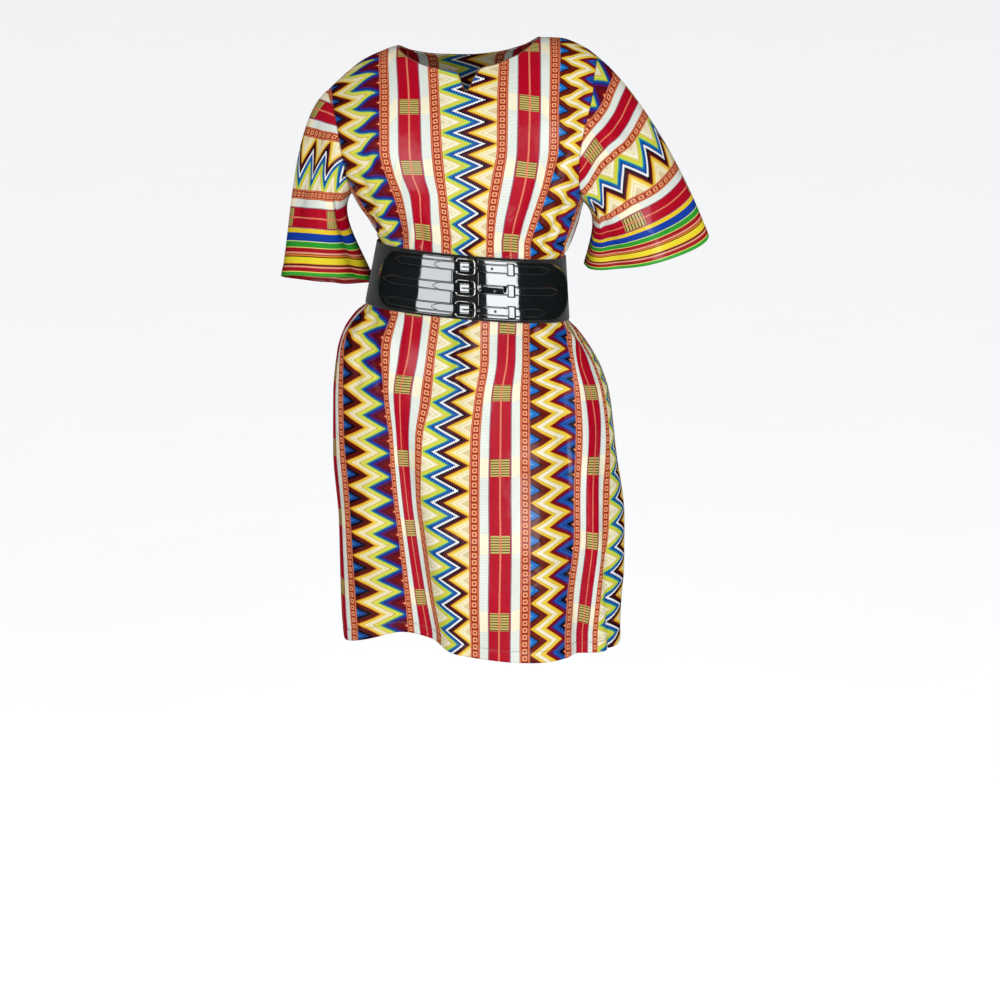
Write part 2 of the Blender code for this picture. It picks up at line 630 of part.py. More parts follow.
def build_panels_and_straps(material, collection):
    """Two rounded panels, then three straps on each, and the keepers over the right ones."""
    for name, (start, end), rounding in (("left", LEFT_PANEL, PANEL_END_LEFT),
                                         ("right", RIGHT_PANEL[::-1], PANEL_END_RIGHT)):
        x = end_stations(start, end, rounding, 7, 0.011)
        half = rounded_end(x, start, rounding, PANEL_HALF_HEIGHT)
        section = flat_section(0 * x, half, PANEL_LIFT + 0 * x, PANEL_WALL)
        belt_bar(f"belt_panel_{name}", x, section, material, collection)
    for i, height in enumerate(STRAP_HEIGHTS):
        x = end_stations(LEFT_TIPS[i], LEFT_PANEL[1], STRAP_POINT, 3, 0.012)
        half = pointed(x, LEFT_TIPS[i], STRAP_POINT, STRAP_HALF_WIDTH)
        section = flat_section(height + 0 * x, half, STRAP_LIFT + 0 * x, STRAP_WALL)
        belt_bar(f"strap_left_{i + 1}", x, section, material, collection)

        x = np.concatenate([end_stations(RIGHT_TIPS[i], 0.006, STRAP_POINT, 3, 0.012)[:-1],
                            np.linspace(0.006, -0.030, 10)[:-1],
                            end_stations(ARROW_TIP, -0.030, STRAP_POINT, 3, 0.012)[::-1]])
        half = np.minimum(pointed(x, RIGHT_TIPS[i], STRAP_POINT, STRAP_HALF_WIDTH),
                          pointed(x, ARROW_TIP, STRAP_POINT, STRAP_HALF_WIDTH))
        lift = smooth(x, STRAP_ROUTE["x"], STRAP_ROUTE["lift"])
        section = flat_section(height + 0 * x, half, lift, STRAP_WALL)
        belt_bar(f"strap_right_{i + 1}", x, section, material, collection)

        x = np.linspace(*KEEPER_X, 3)
        inside, outside = STRAP_HALF_WIDTH + KEEPER_MARGIN, STRAP_HALF_WIDTH + 0.0022
        top = STRAP_LIFT + STRAP_WALL + KEEPER_MARGIN
        arch = np.array([(-outside, STRAP_LIFT), (-outside, top + KEEPER_WALL),
                         (outside, top + KEEPER_WALL), (outside, STRAP_LIFT),
                         (inside, STRAP_LIFT), (inside, top), (-inside, top),
                         (-inside, STRAP_LIFT)])
        section = np.tile(arch + (height, 0.0), (len(x), 1, 1))
        belt_bar(f"keeper_{i + 1}", x, section, material, collection)


def wire(name, points, radius, cyclic, material, collection):
    """A bent wire: a curve through the points with a round bevel."""
    curve = bpy.data.curves.new(name, "CURVE")
    curve.dimensions = "3D"
    curve.bevel_depth = radius
    curve.bevel_resolution = 1
    curve.use_fill_caps = True
    spline = curve.splines.new("POLY")
    spline.points.add(len(points) - 1)
    spline.points.foreach_set("co", np.hstack([points, np.ones((len(points), 1))]).ravel())
    spline.use_cyclic_u = cyclic
    curve.materials.append(material)
    collection.objects.link(bpy.data.objects.new(name, curve))


def build_buckles(material, collection):
    """Rounded rectangular frames: the left bar lies under the strap, the right bar over it."""
    left, right = BUCKLE_X
    middle, reach = (left + right) / 2, (right - left) / 2
    turn = np.linspace(0, 2 * math.pi, 17)[:-1] + math.pi / 16
    squared = (np.abs(np.cos(turn)) ** 5 + np.abs(np.sin(turn)) ** 5) ** (-1 / 5)
    x = middle + reach * np.cos(turn) * squared
    share = ease((x - left) / (right - left))
    lift = LEFT_BAR_LIFT + (RIGHT_BAR_LIFT - LEFT_BAR_LIFT) * share
    prong_x = np.array(PRONG_X)
    for i, height in enumerate(STRAP_HEIGHTS):
        angle = section_angle(x, BELT_LEVEL + 0 * x)
        up = height + BUCKLE_HALF_HEIGHT * np.sin(turn) * squared
        frame = belt_point(angle, up, lift)
        wire(f"buckle_{i + 1}", frame, BUCKLE_WIRE, True, material, collection)
        angle = section_angle(prong_x, BELT_LEVEL + 0 * prong_x)
        prong = belt_point(angle, height + 0 * prong_x, PRONG_LIFT + 0 * prong_x)
        wire(f"prong_{i + 1}", prong, PRONG_WIRE, False, material, collection)


def material(name, colour, roughness, metallic):
    """A Principled material. colour is linear red, green and blue."""
    made = bpy.data.materials.new(name)
    made.use_nodes = True
    shader = made.node_tree.nodes["Principled BSDF"]
    shader.inputs["Base Color"].default_value = (*colour, 1.0)
    shader.inputs["Roughness"].default_value = roughness
    shader.inputs["Metallic"].default_value = metallic
    made.diffuse_color = (*colour, 1.0)
    return made


def main():
    for item in list(bpy.data.objects):
        bpy.data.objects.remove(item, do_unlink=True)
    collection = bpy.data.collections.new("kaftan_dress")
    bpy.context.scene.collection.children.link(collection)
    cotton = material("waxed_cotton", (0.46, 0.02, 0.03), 0.5, 0.0)
    elastic = material("charcoal_elastic", (0.012, 0.013, 0.015), 0.85, 0.0)
    patent = material("black_patent", (0.004, 0.004, 0.005), 0.08, 0.0)
    steel = material("nickel_plated_steel", (0.72, 0.71, 0.69), 0.18, 1.0)
    front_angles, back_angles = build_dress(cotton, collection)
    build_elastic(front_angles, back_angles, elastic, collection)
    build_panels_and_straps(patent, collection)
    build_buckles(steel, collection)


main()
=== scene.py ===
# %% [markdown]
# # A kaftan dress with a wide three-buckle waist belt
# The dress is cut from waxed cotton printed in the manner of strip weaving: zigzag strips,
# crimson stripes with gold blocks, and chains of small squares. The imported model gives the
# frame. Every visible piece below is a surface worked out with numpy from sizes in metres,
# so a reader can change one size and see the whole garment follow.

import math

import bpy
import numpy as np
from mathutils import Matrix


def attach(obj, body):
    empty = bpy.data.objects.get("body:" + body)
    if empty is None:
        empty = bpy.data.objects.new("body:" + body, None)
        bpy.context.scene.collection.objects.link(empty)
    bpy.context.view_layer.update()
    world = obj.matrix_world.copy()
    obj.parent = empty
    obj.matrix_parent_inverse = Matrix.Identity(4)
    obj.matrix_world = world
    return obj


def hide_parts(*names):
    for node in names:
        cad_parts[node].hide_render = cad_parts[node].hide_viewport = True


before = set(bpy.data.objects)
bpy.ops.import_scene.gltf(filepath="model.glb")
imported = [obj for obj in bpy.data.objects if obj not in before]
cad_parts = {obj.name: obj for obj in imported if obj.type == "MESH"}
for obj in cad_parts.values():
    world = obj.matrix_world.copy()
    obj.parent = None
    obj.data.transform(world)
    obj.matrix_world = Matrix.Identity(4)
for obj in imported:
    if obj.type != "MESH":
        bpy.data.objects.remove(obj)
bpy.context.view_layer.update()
print("nodes of the packed model:", len(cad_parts))

# %% [markdown]
# ## The camera
# The dress is seen from the front, a little from above, with a long lens, so that it keeps
# its proportions. The camera comes first because every later choice is judged through it.

# %% Camera
CAMERA_PLACE = (0.05, -4.76, 0.205)
CAMERA_PITCH = 11.0       # degrees below the horizon
CAMERA_LENS = 110.0       # mm, on a sensor 36 mm wide

camera = bpy.data.objects.new("camera", bpy.data.cameras.new("camera"))
bpy.context.scene.collection.objects.link(camera)
camera.data.lens = CAMERA_LENS
camera.data.sensor_width = 36.0
camera.location = CAMERA_PLACE
camera.rotation_euler = (math.radians(90 - CAMERA_PITCH), 0.0, 0.0)
bpy.context.scene.camera = camera
print("camera at", CAMERA_PLACE)

# %% [markdown]
# ## Tables and smooth curves
# A garment is a few level sections, a few seam lines and its folds. Each is a short table
# with named columns. A smooth curve reads values between the rows and never overshoots,
# which keeps a waist from bulging between two sections.

# %% Reading tables
def table(columns, *rows, per=1):
    """Rows of numbers under named columns, as a dictionary of arrays. In some tables the
    numbers are millimetres, 1000 to the metre."""
    return {name: np.array([row[i] for row in rows], float) / per
            for i, name in enumerate(columns.split())}


def smooth(at, places, values):
    """Cubic pieces between a table's rows, with each slope the harmonic mean of the slopes
    on its two sides, and level where they disagree in sign."""
    step = np.diff(places)
    rise = np.diff(values) / step
    slope = np.empty_like(values)
    slope[0], slope[-1] = rise[0], rise[-1]
    both = rise[:-1] * rise[1:]
    slope[1:-1] = np.where(both > 0, 2 * both / (rise[:-1] + rise[1:] + (both <= 0)), 0.0)
    at = np.clip(at, places[0], places[-1])
    k = np.clip(np.searchsorted(places, at, side="right") - 1, 0, len(step) - 1)
    t = (at - places[k]) / step[k]
    return (values[k] * (1 + 2 * t) * (1 - t) ** 2 + values[k + 1] * t * t * (3 - 2 * t)
            + step[k] * t * (1 - t) * (slope[k] * (1 - t) - slope[k + 1] * t))


def ease(t):
    """0 to 1 with level ends: 3t squared minus 2t cubed."""
    t = np.clip(t, 0.0, 1.0)
    return t * t * (3 - 2 * t)


def unit(vectors):
    """Vectors divided by their lengths."""
    return vectors / np.maximum(np.linalg.norm(vectors, axis=-1, keepdims=True), 1e-12)


def superellipse(angle, corner):
    """Reach of a unit superellipse at an angle: one over the corner exponent's norm of the
    sine and the cosine."""
    return (np.abs(np.sin(angle)) ** corner + np.abs(np.cos(angle)) ** corner) ** (-1 / corner)


print("half way, eased:", ease(0.5))

# %% [markdown]
# ## The form of the dress
# The body is a stack of rounded level sections, each an ellipse with squarer corners. The
# front and the back panel share the side seams and the shoulder seams, and the sleeves are
# set into the armholes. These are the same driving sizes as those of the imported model.

# %% Sections and seam lines
SHOULDER_CURVE_FRONT = 0.150   # height over which the front rolls over from the shoulder seam
SHOULDER_CURVE_BACK = 0.100
YOKE_LEVEL = -0.120
UNDERARM_LEVEL = -0.240
BELT_LEVEL = -0.367
BELT_HALF_HEIGHT = 0.049
BELT_TILT = -0.085
BELT_TILT_REACH = (0.060, 0.190)

SECTIONS = table(
    "level left right front back corner",
    (-0.950, 0.198, 0.242, 0.136, 0.156, 2.1),
    (-0.900, 0.203, 0.243, 0.138, 0.156, 2.1),
    (-0.820, 0.205, 0.248, 0.142, 0.157, 2.1),
    (-0.750, 0.206, 0.248, 0.146, 0.158, 2.1),
    (-0.640, 0.214, 0.234, 0.146, 0.156, 2.1),
    (-0.550, 0.213, 0.223, 0.143, 0.150, 2.1),
    (-0.490, 0.206, 0.206, 0.138, 0.140, 2.1),
    (-0.455, 0.192, 0.187, 0.131, 0.128, 2.1),
    (-0.435, 0.176, 0.172, 0.125, 0.118, 2.1),
    (-0.416, 0.158, 0.156, 0.119, 0.109, 2.2),
    (-0.367, 0.1485, 0.153, 0.1175, 0.107, 2.2),
    (-0.318, 0.139, 0.150, 0.116, 0.105, 2.2),
    (-0.303, 0.143, 0.156, 0.122, 0.107, 2.2),
    (-0.285, 0.153, 0.164, 0.127, 0.109, 2.2),
    (-0.265, 0.167, 0.172, 0.130, 0.110, 2.3),
    (-0.240, 0.180, 0.180, 0.132, 0.110, 2.4),
    (-0.215, 0.194, 0.192, 0.134, 0.110, 2.5),
    (-0.170, 0.212, 0.208, 0.134, 0.110, 2.7),
    (-0.120, 0.224, 0.222, 0.128, 0.106, 2.8),
    (-0.060, 0.230, 0.230, 0.122, 0.102, 2.8),
    (0.010, 0.232, 0.232, 0.120, 0.100, 2.8))
SHOULDER = table(
    "x level",
    (-216, -74), (-198, -57), (-162, -28), (-135, -15), (-108, -6), (0, 1), (111, 7), (142, 6),
    (182, -9), (200, -22), per=1000)
NECK_FRONT = table(
    "x level",
    (-108, -6), (-99, -15.5), (-79, -27.5), (-50, -36.5), (-15.5, -42.5), (-1.5, -70),
    (13, -46), (21.6, -36.5), (46.4, -30), (65, -22), (79, -16), (94, -6), (111, 7), per=1000)
NECK_BACK = table(
    "x level",
    (-108, -6), (-85, -16), (-45, -22), (0, -23), (45, -19), (88, -7), (111, 7), per=1000)
ARMHOLE = table(
    "level front_left front_right back_left back_right",
    (-240, 180, 180, 180, 180), (-215, 184, 172, 188, 182),
    (-180, 190, 171, 197, 186), (-135, 198, 178, 203, 191),
    (-100, 206, 188, 209, 195), (-74, 216, 194, 216, 198),
    (-22, 216, 200, 216, 200), per=1000)
HEM_FRONT = table(
    "x level",
    (-198, -942), (-165, -930), (-120, -917), (-85, -919), (-45, -932), (20, -943),
    (120, -950), (242, -948), per=1000)
HEM_BACK = table(
    "x level",
    (-198, -942), (-80, -950), (60, -950), (242, -948), per=1000)
print("levels with a section:", len(SECTIONS["level"]))

# %% [markdown]
# ## Folds and creases
# A fold is a soft trough along a line from one height to another, deepest at its middle and
# fading sideways like a bell curve. The first table has the large folds that the imported model
# has too. The second has the smaller creases: uneven in length, depth and
# spacing, close together where the belt draws the cloth in and sparse on the flat skirt.

# %% Large folds and small creases
# Each row: x and level of the top, x and level of the end, depth at the top and at the end,
# and half width, all in millimetres. -1 is the front and 1 the back.
FOLDS = {
    -1: (
        (-130, -500, -105, -960, 4, 46, 52), (-112, -560, -52, -960, 6, 20, 15),
        (-85, -600, -22, -960, -2, -8, 18), (70, -560, 90, -960, -4, -26, 75),
        (-10, -418, -20, -600, 13, 4, 10), (106, -420, 88, -540, 8, 2, 11),
        (146, -420, 176, -960, 9, 20, 20), (160, -450, 212, -960, -4, -6, 24),
        (-140, -420, -190, -560, 8, 3, 16), (-122, -185, -98, -316, 4, 13, 13),
        (-140, -215, -125, -314, -2, -6, 14), (128, -165, 76, -316, 3, 10, 12),
        (30, -240, 18, -316, 2, 6, 10), (-45, -250, -38, -316, 2, 5, 10),
        (192, -45, 172, -130, 8, 6, 12)),
    1: (
        (-110, -150, -80, -316, 4, 12, 16), (120, -150, 92, -316, 4, 12, 16),
        (5, -220, 0, -316, 2, 8, 14), (-100, -420, -145, -960, 8, 20, 26),
        (-34, -420, -52, -960, 9, 17, 22), (40, -420, 60, -960, 8, 19, 24),
        (108, -420, 156, -960, 9, 18, 27))}
CREASES = {
    -1: (                 # the skirt from the left seam to the right one
        (-168, -440, -176, -560, 3, 1, 7), (-150, -440, -124, -620, 3.5, 1, 8),
        (-100, -424, -112, -530, 3.4, 1, 6.5), (-76, -424, -70, -500, 2.2, 0.6, 6),
        (-40, -420, -58, -640, 2.2, 1.2, 8), (26, -420, 34, -505, 2.4, 0.6, 6),
        (-11, -414, -20, -565, 6, 1, 4.2), (52, -424, 40, -560, 2.6, 0.8, 7.5),
        (86, -426, 118, -520, 3.2, 0.8, 7), (128, -430, 122, -600, 3.2, 1.2, 8),
        (158, -436, 148, -520, 3, 0.8, 7), (-176, -600, -158, -960, 1.8, 4, 14),
        (16, -700, 8, -960, 1.4, 3.4, 16), (136, -640, 144, -960, 2.2, 4.4, 13),
        (206, -580, 222, -960, 2.6, 5, 11),
        # the bodice: drawn from the armholes, then gathered into the belt
        (-178, -140, -128, -208, 4.5, 3, 11), (-172, -185, -138, -262, 6, 4.5, 8),
        (-152, -246, -140, -314, 3, 6, 8), (-78, -236, -68, -316, 1.5, 5.1, 7),
        (-14, -262, -8, -316, 1.2, 4.5, 6), (52, -230, 44, -316, 1.5, 5.7, 7),
        (152, -160, 116, -250, 4.5, 6, 9), (168, -205, 112, -312, 5.1, 7.5, 8),
        (156, -252, 134, -314, 3.6, 6, 7), (-186, -78, -150, -128, 3.3, 2.1, 13),
        (168, -20, 142, -110, 4.2, 2.4, 12)),
    1: (                  # between the large folds
        (-165, -135, -125, -260, 3.4, 3, 10), (168, -140, 130, -280, 3.4, 3.4, 10),
        (-50, -190, -42, -316, 1.2, 4.8, 10), (50, -205, 46, -316, 1.2, 4.4, 9),
        (-118, -246, -112, -314, 1.6, 4, 7), (26, -252, 22, -316, 1, 3.2, 6),
        (-138, -428, -172, -640, 3.4, 1.6, 10), (-70, -424, -82, -560, 3.2, 1, 8),
        (4, -422, 6, -600, 3.4, 1, 8), (74, -424, 90, -580, 3.2, 1.2, 9),
        (140, -430, 176, -620, 3.4, 1.4, 10), (-80, -640, -98, -960, 1.6, 5, 15),
        (4, -660, 4, -960, 1.8, 4.8, 16), (104, -650, 110, -960, 1.8, 5, 15),
        (190, -560, 208, -960, 3, 6, 16))}
FOLD_FADE_IN = 0.050
FOLD_FADE_OUT = 0.070
HEM_REACH = -0.930        # a fold that ends below this runs out through the hem
BELT_FADE = 0.015         # height over which the folds rise beside the belt
SEAM_FADE = 0.12          # and the turn over which they rise beside a side seam, in radians
GATHER_WAVES = 13
GATHER_UNEVEN = 0.05
GATHER_RHYTHM = 7.3
GATHER_CENTRE = 0.0012
GATHER_SIDES = 0.0034
GATHER_FADE = 0.055
print("folds:", len(FOLDS[-1] + FOLDS[1]), "creases:", len(CREASES[-1] + CREASES[1]))

# %% The body's surface
def half_width(angle, level):
    """Half width of a level section, on the side that the angle lies on."""
    left = smooth(level, SECTIONS["level"], SECTIONS["left"])
    right = smooth(level, SECTIONS["level"], SECTIONS["right"])
    return np.where(angle < 0, left, right)


def section_angle(x, level):
    """The angle at which a level section is this far from the centre line."""
    corner = smooth(level, SECTIONS["level"], SECTIONS["corner"])
    share = np.clip(np.abs(x) / half_width(x, level), 0.0, 1.0)
    rest = np.maximum(1 - share ** corner, 0.0) ** (1 / corner)
    return np.sign(x) * np.arctan2(share, rest)


def smooth_section(side, angle, level):
    """Half width times sine and half depth times cosine, times the superellipse's reach,
    rolled over to nothing at the shoulder seam."""
    corner = smooth(level, SECTIONS["level"], SECTIONS["corner"])
    norm = superellipse(angle, corner)
    x = half_width(angle, level) * np.sin(angle) * norm
    deep = smooth(level, SECTIONS["level"], SECTIONS["front" if side < 0 else "back"])
    curve = SHOULDER_CURVE_FRONT if side < 0 else SHOULDER_CURVE_BACK
    down = np.clip((smooth(x, SHOULDER["x"], SHOULDER["level"]) - level) / curve, 0.0, 1.0)
    y = side * deep * np.cos(angle) * norm * np.sqrt(1 - (1 - down) ** 2)
    return x, y, deep


def troughs(folds, angle, level, reach):
    """Sum over rows of folds: depth along the line times a bell curve across it."""
    total = np.zeros(np.broadcast(angle, level).shape)
    for x_top, top, x_end, end, depth_top, depth_end, half in np.array(folds) / 1000:
        along = np.clip((top - level) / (top - end), 0, 1)
        centre = section_angle(x_top + along * (x_end - x_top), level)
        away = (angle - centre) * reach / half
        depth = depth_top + along * (depth_end - depth_top)
        shown = ease((top - level) / FOLD_FADE_IN + 0.5)
        if end > HEM_REACH:
            shown = shown * ease((level - end) / FOLD_FADE_OUT + 0.5)
        total += depth * shown * np.exp(-away ** 2)
    return total


def gathers(side, angle, level):
    """Waves drawn in by the belt: a cosine round the waist, uneven in spacing, higher at the
    sides, that dies away from the belt like a bell curve."""
    share = angle / (math.pi / 2)
    wave = np.cos(math.pi * GATHER_WAVES
                  * (share + GATHER_UNEVEN * np.sin(GATHER_RHYTHM * share + side)))
    height = GATHER_CENTRE + (GATHER_SIDES - GATHER_CENTRE) * share ** 2
    from_belt = np.maximum(np.abs(level - BELT_LEVEL) - BELT_HALF_HEIGHT, 0.0)
    return height * wave * np.exp(-(from_belt / GATHER_FADE) ** 2)


def fold_depth(side, angle, level, reach, small):
    """The large folds, and with them the small creases and the belt's gathers. Nothing moves
    under the belt itself."""
    total = troughs(FOLDS[side], angle, level, reach)
    if small:
        total += troughs(CREASES[side], angle, level, reach) + gathers(side, angle, level)
    flat = ease((np.abs(level - BELT_LEVEL) - BELT_HALF_HEIGHT) / BELT_FADE)
    seam = ease((math.pi / 2 - np.abs(angle)) / SEAM_FADE)
    return total * flat * seam


def tilt(x, level):
    """The level after the belt's slope is added, near the belt only."""
    near, far = BELT_TILT_REACH
    share = 1 - ease((np.abs(level - BELT_LEVEL) - near) / (far - near))
    return level + BELT_TILT * x * share


def body_point(side, angle, level, folds="all", lift=0.0):
    """A point of the body's outer surface, moved out by lift and in by the folds, which are
    all of them, the large ones or none."""
    x, y, deep = smooth_section(side, angle, level)
    wide = half_width(angle, level)
    out = unit(np.stack([x / wide ** 2, y / deep ** 2], -1))
    depth = 0.0
    if folds != "none":
        depth = fold_depth(side, angle, level, np.hypot(x, y), folds == "all")
    move = np.asarray(lift - depth)[..., None]
    shifted = np.stack([x, y], -1) + out * move
    return np.stack([shifted[..., 0], shifted[..., 1], tilt(shifted[..., 0], level)], -1)


print("front of the belt line:", body_point(-1, np.zeros(1), np.full(1, BELT_LEVEL)).round(3))

# %% [markdown]
# ## The panels as grids
# A panel is a grid: rows run down from the shoulder seam or the neckline to the hem, and
# columns run from the left seam to the right one. The cells are about 4 mm, small enough
# for the narrowest crease. Rows crowd together near the hem, where the hem is stitched.

# %% Panel grids
SHOULDER_COLUMNS = 34
NECK_COLUMNS = 84
YOKE_ROWS = 30
CHEST_ROWS = 30
WAIST_ROWS = 20
BELT_ROWS = 6
SKIRT_ROWS = 104
UNDERARM_ROW = YOKE_ROWS + CHEST_ROWS
BELT_TOP = BELT_LEVEL + BELT_HALF_HEIGHT
BELT_FOOT = BELT_LEVEL - BELT_HALF_HEIGHT
SKIRT_LENGTH = 0.53
SLIT = (-0.0155, -0.0015, 0.0130)     # the two sides and the point of the neck's slit
SLIT_CLEAR = 0.0012       # no other column stands nearer to these
HEM_ALLOWANCE = 0.018
HEM_ROWS = np.array([24, 21, 19.5, 18, 16.5, 15, 11, 7, 3.5, 0]) / 1000


def edge_angle(side, where, level):
    """The angle of a panel's edge, on the side that where lies on: the armhole above the
    underarm, the side seam below."""
    left, right = (smooth(level, ARMHOLE["level"], ARMHOLE[column]) for column in
                   (("front_left", "front_right") if side < 0 else ("back_left", "back_right")))
    above = np.abs(section_angle(np.where(where < 0, -left, right), level))
    return np.where(level <= UNDERARM_LEVEL, math.pi / 2, above)


def column_angle(share, edge):
    """Angle of a panel's column. Near the edge it gives way to the armhole, inside hardly."""
    return share * math.pi / 2 - (math.pi / 2 - edge) * share * np.abs(share)


def column_share(angle, edge):
    """The share of a column that has this angle where the panel's edge has that angle."""
    pull = np.maximum(math.pi / 2 - edge, 1e-9)
    root = np.sqrt(math.pi ** 2 / 4 - 4 * pull * np.abs(angle))
    return np.sign(angle) * (math.pi / 2 - root) / (2 * pull)


def panel_levels(top, hem):
    """Levels of a panel's rows, one column of levels for each column of the panel."""
    count = np.arange(YOKE_ROWS + 1) / YOKE_ROWS
    yoke = top + (YOKE_LEVEL - top) * (1 - np.cos(count * math.pi / 2))[:, None]
    middle = np.concatenate([np.linspace(YOKE_LEVEL, UNDERARM_LEVEL, CHEST_ROWS + 1)[1:],
                             np.linspace(UNDERARM_LEVEL, BELT_TOP, WAIST_ROWS + 1)[1:],
                             np.linspace(BELT_TOP, BELT_FOOT, BELT_ROWS + 1)[1:]])
    above_hem = 1 - HEM_ROWS / SKIRT_LENGTH
    share = np.concatenate([np.linspace(0, above_hem[0], SKIRT_ROWS + 1)[1:], above_hem[1:]])
    return np.concatenate([yoke, middle[:, None] + 0 * top,
                           BELT_FOOT + (hem - BELT_FOOT) * share[:, None]])


def panel_grid(side, neck, hem, corners):
    """Angles and levels for every row and column. corners are places on the neckline that
    must have a column of their own, such as the two sides and the point of the slit."""
    left, right = SHOULDER["x"][0], SHOULDER["x"][-1]
    neck_left, neck_right = neck["x"][0], neck["x"][-1]
    inside = np.linspace(neck_left, neck_right, NECK_COLUMNS)
    away = np.abs(inside[:, None] - np.array(corners, float)).min(axis=1, initial=1.0)
    spaced = inside[away > SLIT_CLEAR]
    x = np.concatenate([np.linspace(left, neck_left, SHOULDER_COLUMNS + 1)[:-1],
                        np.sort(np.concatenate([spaced, corners])),
                        np.linspace(neck_right, right, SHOULDER_COLUMNS + 1)[1:]])
    on_neck = (x >= neck_left) & (x <= neck_right)
    top = np.where(on_neck, smooth(x, neck["x"], neck["level"]),
                   smooth(x, SHOULDER["x"], SHOULDER["level"]))
    edge = edge_angle(side, x, top)
    share = column_share(section_angle(x, top), edge)
    share[0], share[-1] = -1.0, 1.0
    at_hem = half_width(x, HEM_REACH) * np.sin(share * math.pi / 2)
    levels = panel_levels(top, smooth(at_hem, hem["x"], hem["level"]))
    return column_angle(share, edge_angle(side, share, levels)), levels


front_angles, front_levels = panel_grid(-1, NECK_FRONT, HEM_FRONT, SLIT)
back_angles, back_levels = panel_grid(1, NECK_BACK, HEM_BACK, ())
front = body_point(-1, front_angles, front_levels)
back = body_point(1, back_angles, back_levels)
print("front grid", front.shape[:2], "back grid", back.shape[:2])

# %% [markdown]
# ## The sleeves
# A sleeve is a tube from the armhole to a tilted oval cuff. Each point of the armhole runs
# to its point of the cuff on a curve with a pull at both ends, so the top of the sleeve
# falls from the shoulder and the underarm stays short. Its folds run along the tube.

# %% Sleeve tables
SLEEVE_ROWS = 66
SLEEVE_FADE = 0.25        # share of the sleeve's length over which a fold rises or dies away
SLEEVES = {
    "left": {"cuff": (-0.222, 0.052, -0.374), "across": (-0.074, 0.000, 0.004),
             "forward": (0.0, -0.070, 0.012), "top_pull": (-0.170, 0.000, -0.120),
             "under_pull": (-0.085, 0.030, -0.100), "top_end": (-0.050, 0.010, -0.220),
             "under_end": (0.030, 0.030, -0.120)},
    "right": {"cuff": (0.280, 0.030, -0.326), "across": (0.098, 0.000, 0.022),
              "forward": (0.0, -0.048, -0.018), "top_pull": (0.190, 0.000, -0.150),
              "under_pull": (0.080, 0.010, -0.070), "top_end": (0.120, 0.010, -0.320),
              "under_end": (-0.020, 0.010, -0.110)},
}
# Each row: turn at the top and at the end, in degrees, the shares of the sleeve's length where
# the fold starts and ends, depth, and half width in degrees. -1 is the left sleeve.
SLEEVE_FOLDS = {
    -1: (
        (60, 25, 0.05, 0.85, 0.006, 16), (130, 134, 0.1, 1.2, 0.01, 17),
        (95, 80, 0.45, 1.2, -0.004, 20), (228, 250, 0.1, 1.2, 0.01, 18),
        (300, 285, 0.15, 1.2, 0.007, 20),
        # small creases
        (84, 52, 0.02, 0.6, 0.003, 6), (108, 100, 0.05, 0.55, 0.0034, 6),
        (150, 142, 0.05, 0.9, 0.0034, 8), (30, 44, 0, 0.45, 0.002, 8),
        (200, 210, 0.05, 0.8, 0.0034, 8), (262, 270, 0.05, 0.7, 0.003, 8),
        (325, 318, 0, 0.6, 0.0024, 8)),
    1: (
        (100, 70, 0.02, 0.8, 0.009, 15), (138, 120, 0.1, 1.2, 0.009, 16),
        (66, 84, 0.4, 1.2, -0.005, 18), (235, 250, 0.1, 1.2, 0.009, 18),
        (300, 290, 0.15, 1.2, 0.006, 20),
        # small creases
        (84, 40, 0, 0.62, 0.004, 7), (118, 96, 0.02, 0.7, 0.004, 7), (60, 30, 0, 0.5, 0.0026, 7),
        (154, 142, 0.05, 0.85, 0.0034, 8), (208, 214, 0.05, 0.8, 0.0034, 8),
        (262, 270, 0.05, 0.7, 0.003, 8), (325, 318, 0, 0.6, 0.0024, 8))}
print("sleeves:", list(SLEEVES))

# %% Sleeve surfaces
def grid_normals(grid, around):
    """Outward normals of a grid: the way down crossed with the way across."""
    down = np.gradient(grid, axis=0)
    if around:
        across = (np.roll(grid, -1, axis=1) - np.roll(grid, 1, axis=1)) / 2
    else:
        across = np.gradient(grid, axis=1)
    return unit(np.cross(down, across))


def armhole_ring(front_side, back_side, column):
    """The closed armhole: down the front panel's edge, up the back panel's."""
    down = front_side[:UNDERARM_ROW + 1, column]
    up = back_side[UNDERARM_ROW - 1:0:-1, column]
    return np.concatenate([down, up])


def path_lengths(path, closed=False):
    """Length of a path up to each of its points, and up to the first again if it is closed."""
    if closed:
        path = np.concatenate([path, path[:1]])
    return np.concatenate([[0.0], np.cumsum(np.linalg.norm(np.diff(path, axis=0), axis=1))])


def ring_turn(ring):
    """Angle of each ring point: 0 at the shoulder, half a turn at the underarm, by length."""
    along = path_lengths(ring, closed=True)
    half = along[UNDERARM_ROW]
    first = along[:UNDERARM_ROW + 1] / half * math.pi
    second = math.pi + (along[UNDERARM_ROW + 1:-1] - half) / (along[-1] - half) * math.pi
    return np.concatenate([first, second])


